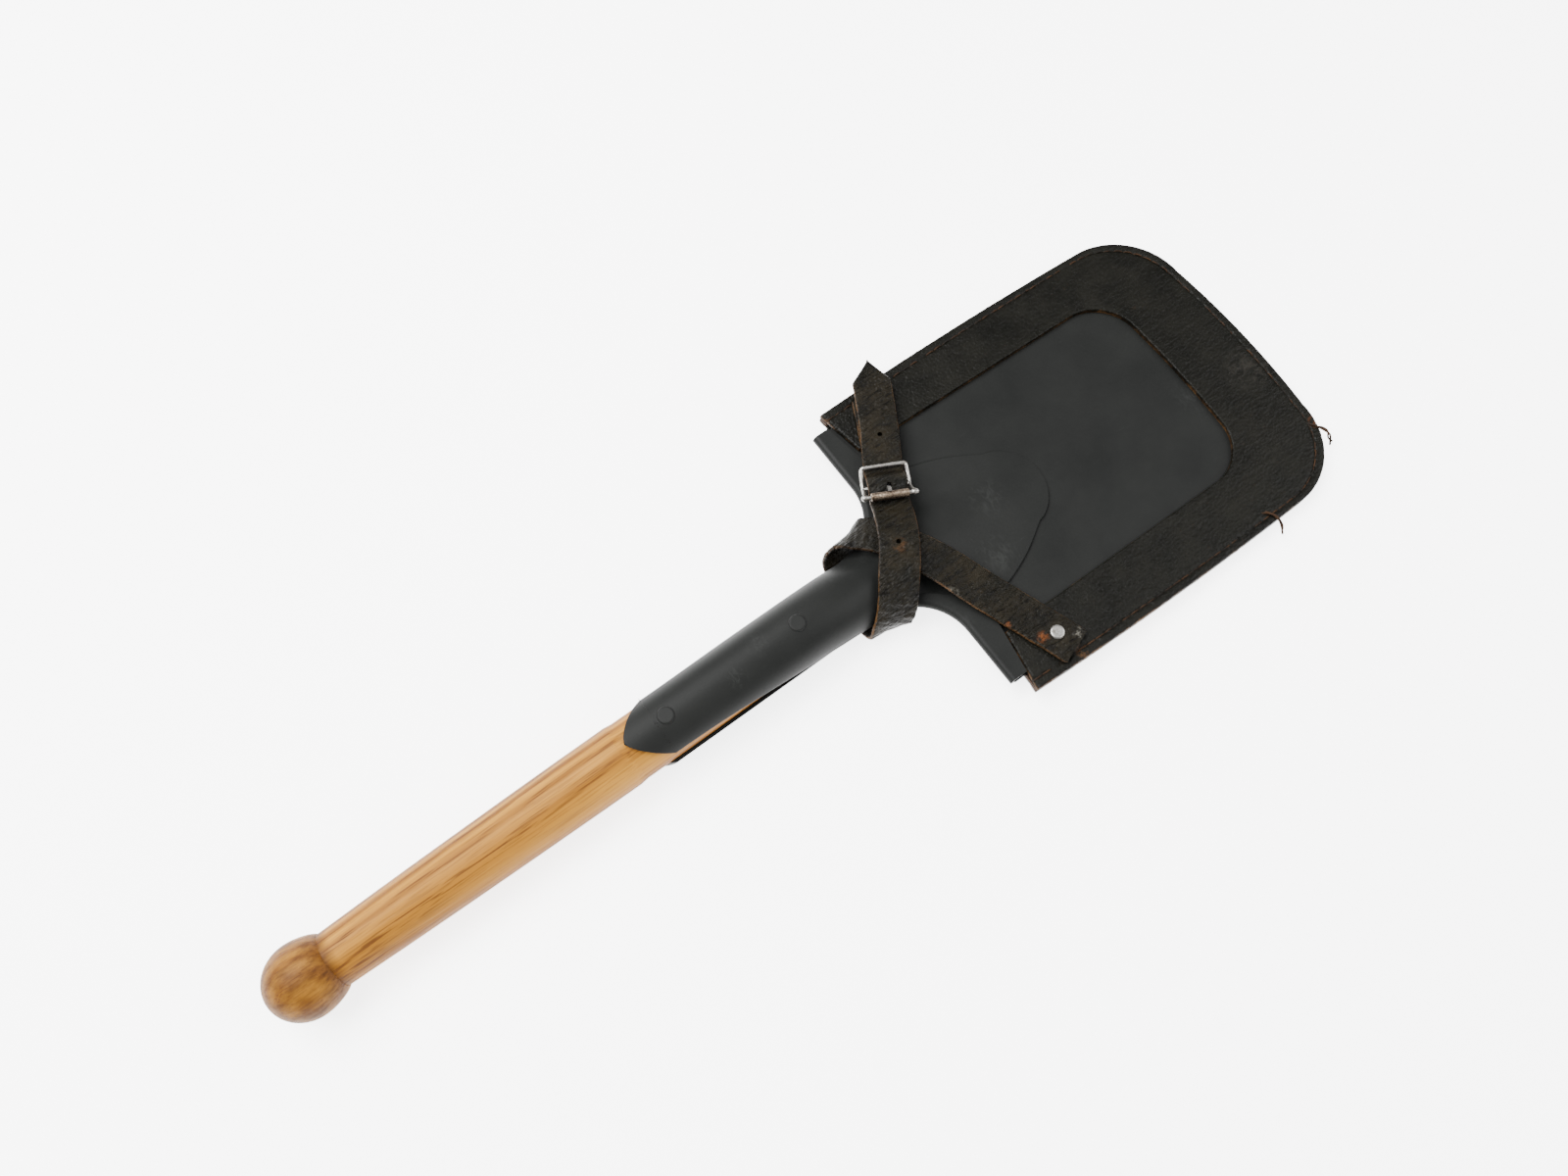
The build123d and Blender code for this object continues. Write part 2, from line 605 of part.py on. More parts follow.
for side, name in ((1, "belt_loop_left"), (-1, "belt_loop_right")):
    middle = COVER.from_local_coords((0, side * LOOP_ACROSS, PANEL_BOTTOM))
    loop_side = Plane(origin=middle, x_dir=COVER.x_dir, z_dir=-COVER.y_dir)
    foot_end = LOOP_START + LOOP_FOOT
    far_foot = LOOP_START + LOOP_LENGTH - LOOP_FOOT
    with BuildPart() as belt_loop:
        with BuildSketch(loop_side):
            upper = (
                (LOOP_START, 0), (foot_end, 0), (foot_end + LOOP_RISE, -LOOP_GAP),
                (far_foot - LOOP_RISE, -LOOP_GAP), (far_foot, 0), (LOOP_START + LOOP_LENGTH, 0),
            )
            lower = [(along, height - LOOP_T) for along, height in reversed(upper)]
            Polygon(*upper, *lower, align=None)
        extrude(amount=LOOP_W / 2, both=True)
        add(loop_rivets.part, mode=Mode.SUBTRACT)
    save(belt_loop.part, name)
with BuildPart() as cover_back_panel:
    add(cover_leather(PANEL_BOTTOM, PANEL_T))
    add(loop_rivets.part, mode=Mode.SUBTRACT)
save(cover_back_panel.part, "cover_back_panel")

# ---- closing strap: from its rivet over the neck, round behind it and up to the buckle ----
# Middle of the strap: X, Y, Z, then the direction across its width.
STRAP_STATIONS = (
    ((96.6, -80.6, 14.4), (0.92, 0.39, -0.03)),
    ((93.2, -71.0, 14.45), (0.92, 0.39, -0.03)),
    ((85.8, -52.0, 15.1), (0.92, 0.4, 0)),
    ((76.8, -31.0, 18.6), (0.92, 0.4, 0)),
    ((69.5, -13.5, 22.2), (0.92, 0.4, -0.1)),
    ((62.5, 0.0, 23.8), (0.91, 0.39, -0.15)),
    ((54.6, 13.6, 24.0), (0.9, 0.4, -0.18)),
    ((45.9, 22.6, 20.6), (0.94, 0.32, -0.15)),
    ((40.8, 24.0, 13.6), (0.99, 0.1, -0.15)),
    ((37.4, 21.4, 6.4), (1, 0.02, -0.05)),
    ((36.0, 14.5, 2.4), (1, 0, 0)),
    ((35.4, 6.0, 1.3), (1, 0, 0.01)),
    ((34.0, -6.0, 1.3), (1, 0, 0.01)),
    ((33.0, -14.0, 2.7), (0.99, -0.05, 0.1)),
    ((33.4, -20.3, 7.6), (0.94, -0.25, 0.2)),
    ((35.4, -21.6, 14.0), (0.93, -0.3, 0.15)),
    ((38.9, -19.4, 20.6), (0.93, -0.32, 0.05)),
    ((43.4, -14.2, 26.2), (0.92, -0.38, 0)),
    ((48.6, -7.6, 29.2), (0.86, -0.48, 0)),
    ((54.6, -0.2, 29.7), (0.82, -0.56, 0)),
    ((60.6, 8.4, 28.6), (0.84, -0.54, 0)),
    ((66.2, 18.4, 25.0), (0.88, -0.47, 0)),
    ((69.4, 25.3, 22.4), (0.89, -0.455, 0)),
    ((73.6, 33.4, 24.75), (0.89, -0.455, 0)),
    ((77.0, 40.0, 20.3), (0.89, -0.455, 0)),
    ((81.5, 47.2, 19.5), (0.91, -0.42, 0)),
    ((90.2, 60.2, 18.2), (0.93, -0.37, 0)),
    ((99.0, 76.0, 17.9), (0.96, -0.28, 0)),
    ((102.6, 82.6, 17.7), (0.97, -0.25, 0)),
    ((108.0, 93.0, 17.3), (0.97, -0.25, 0)),
)
STRAP_TIP_W = 1.6
with BuildPart() as closing_strap:
    points = [Vector(*station) for station, _ in STRAP_STATIONS]
    last = len(points) - 1
    for span in range(last):
        for i in (span, span + 1):
            along = points[min(i + 1, last)] - points[max(i - 1, 0)]
            across = Vector(*STRAP_STATIONS[i][1])
            with BuildSketch(Plane(origin=points[i], x_dir=across, z_dir=along)):
                Rectangle(STRAP_TIP_W if i == last else STRAP_W, STRAP_T)
        loft(ruled=True)
    with BuildSketch(BUCKLE.offset(-8)):
        with Locations((0, -4.6)):
            SlotOverall(8.4, 3.2, rotation=90)
    extrude(amount=14, mode=Mode.SUBTRACT)
    add(strap_rivet.part, mode=Mode.SUBTRACT)
save(closing_strap.part, "closing_strap")
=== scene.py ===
"""Camp shovel with its leather carrying cover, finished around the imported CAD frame.

Shapes are written in millimetres in the frame's axes: X along the handle towards the digging
end, Y to its left, Z up from the table. The cover's pieces are drawn in the cover's own plane.
"""
import json
import math
import random
from bisect import bisect_right

import bmesh
import bpy
from mathutils import Matrix, Vector, noise


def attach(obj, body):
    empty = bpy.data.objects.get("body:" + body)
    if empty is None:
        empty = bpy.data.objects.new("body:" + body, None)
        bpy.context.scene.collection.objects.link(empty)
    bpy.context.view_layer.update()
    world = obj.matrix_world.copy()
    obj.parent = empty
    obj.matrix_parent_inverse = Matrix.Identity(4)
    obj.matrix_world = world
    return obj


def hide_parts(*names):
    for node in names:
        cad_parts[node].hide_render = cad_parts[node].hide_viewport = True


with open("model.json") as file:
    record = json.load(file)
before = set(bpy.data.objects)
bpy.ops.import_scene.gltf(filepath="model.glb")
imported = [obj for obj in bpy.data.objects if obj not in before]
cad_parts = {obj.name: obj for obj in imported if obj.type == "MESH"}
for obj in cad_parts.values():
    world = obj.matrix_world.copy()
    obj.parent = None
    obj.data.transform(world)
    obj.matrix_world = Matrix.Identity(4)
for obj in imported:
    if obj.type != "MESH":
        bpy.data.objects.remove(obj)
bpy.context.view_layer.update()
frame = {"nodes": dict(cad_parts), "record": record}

MM = 0.001
nodes = frame["nodes"]

# ---- view: camera, floor and light ---------------------------------------------------
CAMERA_TARGET = Vector((7.9, 26.0, 0.0)) * MM
CAMERA_TILT = math.radians(18.73)  # away from straight down
CAMERA_TURN = math.radians(35.60)  # the shovel's axis, turned in the picture
CAMERA_ROLL = math.radians(-0.60)
CAMERA_DISTANCE = 575.8 * MM
CAMERA_LENS = 27.54
SENSOR = 36.0
FLOOR_HALF = 6.0
WORLD_STRENGTH = 0.55
KEY_POWER = 82
FILL_POWER = 20
FLOOR_GLOW = 4.0  # the lit table under the object

# ---- the object's planes and sizes, as in the CAD model --------------------------------
AXIS_Z = 17.2
SHOULDER = Vector((61.8, 0.0, 9.1))
CANT = math.radians(1.6)
COVER_TURN = math.radians(-0.92)
COVER_SHIFT = 1.6
BLADE_T = 1.8
FRAME_BOTTOM = 2.1
FRAME_TOP = 4.6
PANEL_TOP = -0.3
PANEL_BOTTOM = -2.7
OUTLINE_SHIFT = -1.95
SEAM_INSET = 4.6
STITCH_PITCH = 5.2
SOCKET_R = 16.4
SOCKET_TIP = -96.5
SOCKET_MOUTH = -80.0
SOCKET_END = -2.0
MOUTH_GAP = 7.6  # height of the front half's edges over the axis, at the mouth
KNOB_START = -240.5
KNOB_FULL = -245.5
STRAP_W = 19.0
STRAP_T = 2.2
BUCKLE_AT = Vector((73.7, 33.6, 24.9))
BUCKLE_ACROSS = Vector((0.89, -0.455, 0.0))
BUCKLE_NORMAL = Vector((0.098, 0.19, 0.977))
BAR_DROP = 4.5
ROLLER_Y = -8.3
KEEPER_Y = 9.0


def plane(origin, x_dir, z_dir):
    """Matrix from a plane's own coordinates to the frame's, in millimetres."""
    z_dir = z_dir.normalized()
    x_dir = (x_dir - z_dir * x_dir.dot(z_dir)).normalized()
    matrix = Matrix((x_dir, z_dir.cross(x_dir), z_dir)).transposed().to_4x4()
    matrix.translation = origin
    return matrix


BLADE = plane(SHOULDER, Vector((math.cos(CANT), 0, -math.sin(CANT))),
              Vector((math.sin(CANT), 0, math.cos(CANT))))
COVER = BLADE @ Matrix.Translation((0, COVER_SHIFT, 0)) @ Matrix.Rotation(COVER_TURN, 4, "Z")
BUCKLE = plane(BUCKLE_AT, BUCKLE_ACROSS, BUCKLE_NORMAL)


def make_camera():
    data = bpy.data.cameras.new("camera")
    data.sensor_width = SENSOR
    data.lens = CAMERA_LENS
    camera = bpy.data.objects.new("camera", data)
    bpy.context.scene.collection.objects.link(camera)
    right = Vector((math.cos(CAMERA_TURN), -math.sin(CAMERA_TURN), 0))
    away = Vector((math.sin(CAMERA_TURN), math.cos(CAMERA_TURN), 0))
    back = Vector((0, 0, math.cos(CAMERA_TILT))) - away * math.sin(CAMERA_TILT)
    up = away * math.cos(CAMERA_TILT) + Vector((0, 0, math.sin(CAMERA_TILT)))
    turned_right = right * math.cos(CAMERA_ROLL) + up * math.sin(CAMERA_ROLL)
    turned_up = up * math.cos(CAMERA_ROLL) - right * math.sin(CAMERA_ROLL)
    pose = Matrix((turned_right, turned_up, back)).transposed().to_4x4()
    pose.translation = CAMERA_TARGET + back * CAMERA_DISTANCE
    camera.matrix_world = pose
    bpy.context.scene.camera = camera


def area_light(name, position, target, size, power):
    data = bpy.data.lights.new(name, "AREA")
    data.shape = "RECTANGLE"
    data.size, data.size_y = size
    data.energy = power
    light = bpy.data.objects.new(name, data)
    bpy.context.scene.collection.objects.link(light)
    light.location = position
    light.rotation_euler = (Vector(target) - Vector(position)).to_track_quat("-Z", "Y").to_euler()


# ---- node material helpers -------------------------------------------------------------
class Material:
    """A node material with short calls for the few textures that the finishes use."""

    def __init__(self, name):
        self.data = bpy.data.materials.new(name)
        self.data.use_nodes = True
        self.tree = self.data.node_tree
        self.shader = self.tree.nodes["Principled BSDF"]
        self.place = self.node("ShaderNodeTexCoord").outputs["Object"]

    def node(self, kind, inputs=None, **settings):
        made = self.tree.nodes.new(kind)
        for key, value in settings.items():
            setattr(made, key, value)
        for key, value in (inputs or {}).items():
            self.put(made.inputs[key], value)
        return made

    def put(self, socket, value):
        if isinstance(value, bpy.types.NodeSocket):
            self.tree.links.new(value, socket)
        else:
            socket.default_value = value

    def set(self, **values):
        for key, value in values.items():
            self.put(self.shader.inputs[key.replace("_", " ")], value)

    def spread(self, size):
        """Place in units of the given sizes in millimetres along X, Y and Z."""
        scale = tuple(1 / (length * MM) for length in size)
        return self.node("ShaderNodeMapping", {"Vector": self.place, "Scale": scale}).outputs[0]

    def noise(self, size, detail=3.0, roughness=0.55, distortion=0.0):
        size = size if isinstance(size, tuple) else (size, size, size)
        inputs = {"Vector": self.spread(size), "Scale": 1.0, "Detail": detail,
                  "Roughness": roughness, "Distortion": distortion}
        return self.node("ShaderNodeTexNoise", inputs).outputs["Fac"]

    def cells(self, size, feature="F1"):
        inputs = {"Vector": self.spread((size, size, size)), "Scale": 1.0}
        return self.node("ShaderNodeTexVoronoi", inputs, feature=feature).outputs["Distance"]

    def steps(self, factor, low, high, out_low=0.0, out_high=1.0):
        inputs = {"Value": factor, "From Min": low, "From Max": high,
                  "To Min": out_low, "To Max": out_high}
        return self.node("ShaderNodeMapRange", inputs).outputs["Result"]

    def math(self, operation, first, second):
        made = self.node("ShaderNodeMath", operation=operation)
        self.put(made.inputs[0], first)
        self.put(made.inputs[1], second)
        return made.outputs[0]

    def blend(self, factor, first, second):
        made = self.node("ShaderNodeMix", data_type="RGBA")
        self.put(made.inputs["Factor"], factor)
        self.put(made.inputs[6], (*first, 1) if isinstance(first, tuple) else first)
        self.put(made.inputs[7], (*second, 1) if isinstance(second, tuple) else second)
        return made.outputs[2]

    def bump(self, height, strength, distance, below=None):
        inputs = {"Height": height, "Strength": strength, "Distance": distance * MM}
        if below is not None:
            inputs["Normal"] = below
        return self.node("ShaderNodeBump", inputs).outputs["Normal"]

    def spot(self, centre, radius):
        """One near a place on the object, fading to nothing at the radius, in millimetres."""
        apart = self.node("ShaderNodeVectorMath", {0: self.place, 1: tuple(c * MM for c in centre)},
                          operation="DISTANCE").outputs["Value"]
        return self.steps(apart, radius * MM, radius * MM * 0.35)

    def attribute(self, name):
        return self.node("ShaderNodeAttribute", attribute_name=name).outputs["Fac"]


# ---- materials ---------------------------------------------------------------------------
def wood():
    """Oiled ash with long open pores; the knob, mostly end grain, is darker."""
    m = Material("oiled_ash")
    wander = m.noise((190.0, 26.0, 26.0), 2.0)
    shifted = m.node("ShaderNodeVectorMath", {0: m.spread((26.0, 1.0, 1.0)), 1: (0.0, -31.0, 9.0)},
                     operation="ADD").outputs[0]
    rings = m.node("ShaderNodeTexWave", {"Vector": shifted, "Scale": 0.062, "Distortion": 5.5,
                                         "Detail": 2.5, "Detail Scale": 0.16},
                   wave_type="RINGS", rings_direction="X").outputs["Fac"]
    fibre = m.noise((60.0, 1.7, 1.7), 5.0, 0.62)
    pores = m.noise((24.0, 0.62, 0.62), 1.0, 0.5)
    hair = m.noise((38.0, 0.75, 0.75), 3.0, 0.6)
    strands = m.math("ADD", m.math("MULTIPLY", fibre, 0.55), m.math("MULTIPLY", hair, 0.4))
    band = m.math("ADD", m.math("MULTIPLY", rings, 0.32), strands)
    base = m.blend(m.steps(band, 0.46, 0.80), (0.355, 0.166, 0.0210), (0.132, 0.047, 0.0046))
    warm = m.blend(m.steps(wander, 0.35, 0.7), base, (0.240, 0.101, 0.0105))
    early = m.steps(rings, 0.45, 0.95)
    open_share = m.math("ADD", m.math("MULTIPLY", early, 0.6), 0.3)
    dark = m.math("MULTIPLY", m.steps(pores, 0.54, 0.62), open_share)
    grained = m.blend(dark, warm, (0.068, 0.0240, 0.0048))
    along = m.node("ShaderNodeSeparateXYZ", {"Vector": m.place}).outputs["X"]
    end_grain = m.steps(along, KNOB_START * MM, KNOB_FULL * MM)
    patch = m.steps(m.noise((14.0, 9.0, 9.0), 3.0), 0.35, 0.62, 0.45, 0.95)
    knob = m.blend(m.steps(fibre, 0.3, 0.7), (0.092, 0.033, 0.0040), (0.033, 0.0105, 0.0015))
    m.set(Base_Color=m.blend(m.math("MULTIPLY", end_grain, patch), grained, knob))
    m.set(Roughness=m.steps(fibre, 0.3, 0.7, 0.46, 0.6))
    m.set(Specular_IOR_Level=0.1)
    fine = m.bump(fibre, 0.4, 0.25)
    m.set(Normal=m.bump(m.steps(pores, 0.56, 0.66), 0.35, -0.12, fine))
    return m.data


# dull marks on the steel: centre and radius in the frame
STEEL_SMUDGES = (((234.0, -14.0, 7.0), 13.0), ((-23.3, 2.3, 33.0), 7.0), ((-39.6, -4.5, 33.0), 6.0),
                 ((98.0, -24.0, 13.0), 12.0), ((112.0, 2.0, 12.0), 12.0), ((58.0, -41.0, 14.0), 12.0))


def black_steel():
    """Satin black enamel with fine scratches and a few pale scuffs."""
    m = Material("black_enamel")
    cloud = m.noise(34.0, 4.0)
    fine = m.noise(1.6, 3.0)
    streaks = m.noise((26.0, 0.5, 0.5), 4.0, 0.7)
    scuffs = m.noise((2.4, 5.5, 3.0), 5.0, 0.7, 1.2)
    places = m.noise(28.0, 1.0)
    base = m.blend(m.steps(cloud, 0.3, 0.7), (0.0064, 0.0068, 0.0064), (0.0090, 0.0094, 0.0088))
    rubbed = m.math("MULTIPLY", m.steps(scuffs, 0.66, 0.74), m.steps(places, 0.56, 0.66))
    scratched = m.math("MULTIPLY", m.steps(streaks, 0.68, 0.76), 0.28)
    smudged = m.spot(STEEL_SMUDGES[0][0], STEEL_SMUDGES[0][1])
    for centre, radius in STEEL_SMUDGES[1:]:
        smudged = m.math("MAXIMUM", smudged, m.spot(centre, radius))
    smudged = m.math("MULTIPLY", smudged, m.steps(scuffs, 0.48, 0.62))
    marks = m.math("ADD", m.math("MULTIPLY", rubbed, 0.25), m.math("MULTIPLY", scratched, 0.6))
    marks = m.math("ADD", marks, m.math("MULTIPLY", smudged, 0.08))
    m.set(Base_Color=m.blend(marks, base, (0.075, 0.078, 0.075)))
    m.set(Roughness=m.steps(cloud, 0.3, 0.7, 0.44, 0.52))
    m.set(Specular_IOR_Level=0.08)
    m.set(Normal=m.bump(fine, 0.25, 0.10, m.bump(cloud, 0.2, 0.3)))
    return m.data


def leather(name, brown, wear, creases, spots=()):
    """Black dressed leather: grain, soft creases with painted shade in their valleys, brown where the
    finish has rubbed off.
    """
    m = Material(name)
    cloud = m.noise(17.0, 5.0, 0.6)
    grain = m.cells(1.15, "SMOOTH_F1")
    pores = m.noise(0.55, 3.0, 0.6)
    fold = m.noise((7.0, 1.7, 4.0), 3.0, 0.5, 0.8)
    rub = m.noise(3.4, 6.0, 0.72)
    where = m.noise(24.0, 2.0)
    edge = m.attribute("edge")
    base = m.blend(m.steps(cloud, 0.34, 0.68), (0.0026, 0.0026, 0.0019), brown)
    rubbed = m.math("MULTIPLY", m.steps(rub, 0.60, 0.70), m.steps(where, 0.50, 0.62))
    worn = m.blend(m.math("MULTIPLY", rubbed, wear), base, (0.022, 0.013, 0.006))
    # painted shade: darker colour in the valleys of the crease noise, stronger with more creases
    crease_shade = m.math("MULTIPLY", m.steps(fold, 0.45, 0.37), min(creases, 1.0) * 0.75)
    worn = m.blend(crease_shade, worn, (0.0014, 0.0012, 0.0009))
    # the listed spots: rubbed places, and on the cover one painted sheen patch
    for centre, radius, colour in spots:
        near = m.math("MULTIPLY", m.spot(centre, radius), m.steps(rub, 0.46, 0.60))
        worn = m.blend(near, worn, colour)
    ragged = m.math("ADD", edge, m.math("MULTIPLY", m.math("SUBTRACT", rub, 0.5), 1.5))
    raw = m.blend(m.steps(cloud, 0.4, 0.62), (0.009, 0.0055, 0.003), (0.085, 0.043, 0.017))
    m.set(Base_Color=m.blend(m.steps(ragged, 0.55, 1.05, 0.0, 0.85), worn, raw))
    m.set(Roughness=m.steps(cloud, 0.3, 0.7, 0.33, 0.50))
    m.set(Specular_IOR_Level=0.08)
    creased = m.bump(fold, creases, 1.7)
    pebbled = m.bump(grain, 0.8, -0.4, creased)
    m.set(Normal=m.bump(pores, 0.4, 0.12, pebbled))
    return m.data


def raw_leather():
    m = Material("raw_leather")
    fibre = m.noise((3.0, 3.0, 0.35), 5.0, 0.7)
    base = m.blend(m.steps(fibre, 0.35, 0.65), (0.008, 0.005, 0.003), (0.045, 0.019, 0.0075))
    m.set(Base_Color=base, Roughness=m.steps(fibre, 0.3, 0.7, 0.6, 0.85))
    m.set(Specular_IOR_Level=0.1)
    m.set(Normal=m.bump(fibre, 0.5, 0.2))
    return m.data


def thread():
    m = Material("waxed_thread")
    fibre = m.noise(0.5, 3.0)
    tone = m.noise(9.0, 2.0)
    base = m.blend(m.steps(tone, 0.40, 0.64), (0.005, 0.004, 0.003), (0.028, 0.013, 0.0055))
    m.set(Base_Color=base, Roughness=m.steps(fibre, 0.3, 0.7, 0.5, 0.75))
    m.set(Specular_IOR_Level=0.1)
    m.set(Normal=m.bump(fibre, 0.5, 0.12))
    return m.data


def plated(name, bright, dull, pits):
    """Worn plating, dull and brown in its pits."""
    m = Material(name)
    spots = m.noise(0.9, 5.0, 0.7)
    cloud = m.noise(4.0, 3.0)
    bare = m.math("ADD", m.math("MULTIPLY", spots, 0.6), m.math("MULTIPLY", cloud, 0.4))
    m.set(Base_Color=m.blend(m.steps(bare, 0.42, 0.62), bright, dull), Metallic=1.0)
    m.set(Roughness=m.steps(bare, 0.35, 0.65, 0.22, 0.5))
    m.set(Normal=m.bump(spots, pits, -0.2))
    return m.data


# rubbed places, and on the cover one painted sheen patch: centre and radius in the frame, and the
# colour that shows there
ORANGE = (0.085, 0.027, 0.008)
PALE = (0.085, 0.080, 0.068)
STRAP_SPOTS = (((86.8, -68.0, 15.5), 3.6, ORANGE), ((77.4, -53.8, 16.0), 2.2, ORANGE),
               ((98.5, -84.0, 15.0), 2.5, ORANGE), ((101.4, -75.8, 15.5), 3.6, PALE),
               ((57.0, 3.0, 30.5), 4.5, (0.035, 0.017, 0.007)), ((64.0, -28.5, 21.0), 4.5, PALE))
COVER_RUBS_AND_SHEEN = (((72.0, 80.0, 12.0), 3.2, (0.05, 0.022, 0.009)), ((269.0, -61.0, 7.5), 3.6, ORANGE),
               ((98.0, -83.0, 13.0), 4.0, (0.06, 0.03, 0.012)),
               # painted sheen: a broad pale patch near the cover's end, lighter than the leather around
               # it
               ((262.0, -20.0, 7.5), 14.0, (0.011, 0.010, 0.008)))

FINISH = {
    "wood": wood(),
    "black_steel": black_steel(),
    "cover_leather": leather("cover_leather", (0.0050, 0.0048, 0.0034), 0.3, 0.35, COVER_RUBS_AND_SHEEN),
    "raw_leather": raw_leather(),
    "strap_leather": leather("strap_leather", (0.0100, 0.0078, 0.0042), 0.7, 1.0, STRAP_SPOTS),
    "thread": thread(),
    "nickel": plated("nickel", (0.40, 0.39, 0.37), (0.13, 0.115, 0.095), 0.35),
    "worn_brass": plated("worn_roller", (0.24, 0.185, 0.135), (0.030, 0.018, 0.010), 0.9),
}


def make_stage():
    mesh = bpy.data.meshes.new("floor")
    h = FLOOR_HALF
    mesh.from_pydata([(-h, -h, 0), (h, -h, 0), (h, h, 0), (-h, h, 0)], [], [(0, 1, 2, 3)])
    floor = bpy.data.objects.new("floor", mesh)
    bpy.context.scene.collection.objects.link(floor)
    paper = Material("floor_paper")
    paper.set(Base_Color=(0.93, 0.93, 0.93, 1), Roughness=0.9, Emission_Color=(1, 1, 1, 1),
              Emission_Strength=FLOOR_GLOW)
    mesh.materials.append(paper.data)
    world = bpy.data.worlds.new("studio")
    world.use_nodes = True
    background = world.node_tree.nodes["Background"]
    background.inputs["Color"].default_value = (0.97, 0.985, 1.0, 1)
    background.inputs["Strength"].default_value = WORLD_STRENGTH
    bpy.context.scene.world = world
    area_light("key", (-0.42, 0.56, 1.22), (0.05, 0, 0), (1.3, 1.0), KEY_POWER)
    area_light("fill", (0.9, -0.5, 0.9), (0, 0, 0), (1.0, 1.0), FILL_POWER)


# ---- mesh helpers --------------------------------------------------------------------------
CURVE_STEPS = 24  # points between two given ones, before they are evened out
SHARP_ANGLE = math.radians(50)
DOME_STEPS = (0.5, 0.85, 0.98)  # rings of a wire's domed end, as shares of its radius


def piece(name, shape, body, slot, replaced=(), clean=None):
    """Make a visible piece from (points, faces, edge wear per point), all in millimetres."""
    points, faces, wear = shape
    mesh = bpy.data.meshes.new(name)
    mesh.from_pydata([Vector(point) * MM for point in points], [], faces)
    attribute = mesh.attributes.new("edge", "FLOAT", "POINT")
    attribute.data.foreach_set("value", wear)
    work = bmesh.new()
    work.from_mesh(mesh)
    if clean:
        bmesh.ops.remove_doubles(work, verts=work.verts, dist=clean * MM)
        bmesh.ops.dissolve_degenerate(work, edges=work.edges, dist=1e-7)
    bmesh.ops.recalc_face_normals(work, faces=work.faces)
    for face in work.faces:
        face.smooth = True
    for edge in work.edges:
        if edge.is_manifold and edge.calc_face_angle(0) > SHARP_ANGLE:
            edge.smooth = False
    work.to_mesh(mesh)
    work.free()
    mesh.materials.append(FINISH[slot])
    made = bpy.data.objects.new(name, mesh)
    bpy.context.scene.collection.objects.link(made)
    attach(made, body)
    if replaced:
        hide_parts(*replaced)
    return made


def join(shapes):
    """One shape from many."""
    points, faces, wear = [], [], []
    for more_points, more_faces, more_wear in shapes:
        start = len(points)
        points += more_points
        faces += [tuple(start + i for i in face) for face in more_faces]
        wear += more_wear
    return points, faces, wear


def loops_to_mesh(loops, wear, closed=False):
    """Skin a row of equal closed loops, with a cap on each end unless the row is closed."""
    size = len(loops[0])
    points = [point for loop in loops for point in loop]
    faces = []
    for i in range(len(loops) if closed else len(loops) - 1):
        a, b = i * size, (i + 1) % len(loops) * size
        faces += [(a + j, a + (j + 1) % size, b + (j + 1) % size, b + j) for j in range(size)]
    if not closed:
        faces += [tuple(range(size))[::-1], tuple(range(len(points) - size, len(points)))]
    return points, faces, wear


def curve_through(rows):
    """Smooth function of one number through (x, value) rows, level outside them."""
    xs = [row[0] for row in rows]
    ys = [row[1] for row in rows]
    last = len(xs) - 1
    slopes = []
    for i in range(len(xs)):
        low, high = max(i - 1, 0), min(i + 1, last)
        slopes.append((ys[high] - ys[low]) / (xs[high] - xs[low]))

    def value(x):
        if x <= xs[0]:
            return ys[0]
        if x >= xs[-1]:
            return ys[-1]
        i = bisect_right(xs, x) - 1
        width = xs[i + 1] - xs[i]
        t = (x - xs[i]) / width
        t2, t3 = t * t, t * t * t
        return ((2 * t3 - 3 * t2 + 1) * ys[i] + (t3 - 2 * t2 + t) * width * slopes[i]
                + (3 * t2 - 2 * t3) * ys[i + 1] + (t3 - t2) * width * slopes[i + 1])
    return value


def smooth_step(x, low, high):
    t = min(max((x - low) / (high - low), 0.0), 1.0)
    return t * t * (3 - 2 * t)


def catmull_rom(p, t):
    """Point at share t between the middle two of four points."""
    return 0.5 * ((2 * p[1]) + (p[2] - p[0]) * t
                  + (2 * p[0] - 5 * p[1] + 4 * p[2] - p[3]) * t * t
                  + (3 * p[1] - p[0] - 3 * p[2] + p[3]) * t * t * t)


def run_lengths(points):
    """Distance along a row of points, at each of them."""
    lengths = [0.0]
    for a, b in zip(points, points[1:]):
        lengths.append(lengths[-1] + (b - a).length)
    return lengths


def spread_evenly(points, count):
    """So many points, a steady distance apart along a row of points."""
    lengths = run_lengths(points)
    found = []
    for i in range(count):
        goal = lengths[-1] * i / (count - 1)
        at = min(max(bisect_right(lengths, goal) - 1, 0), len(points) - 2)
        span = lengths[at + 1] - lengths[at]
        t = (goal - lengths[at]) / span if span else 0.0
        found.append(points[at].lerp(points[at + 1], min(t, 1.0)))
    return found


def even_points(points, step):
    """Points about one step apart along a row of points."""
    return spread_evenly(points, max(2, round(run_lengths(points)[-1] / step) + 1))


def smooth_path(points, step, closed=False):
    """Evenly spaced points on the Catmull-Rom curve through the given vectors."""
    count = len(points)
    dense = []
    for i in range(count if closed else count - 1):
        if closed:
            p = [points[(i + k - 1) % count] for k in range(4)]
        else:
            p = [points[min(max(i + k - 1, 0), count - 1)] for k in range(4)]
        dense += [catmull_rom(p, k / CURVE_STEPS) for k in range(CURVE_STEPS)]
    dense.append(points[0].copy() if closed else points[-1].copy())
    return even_points(dense, step)


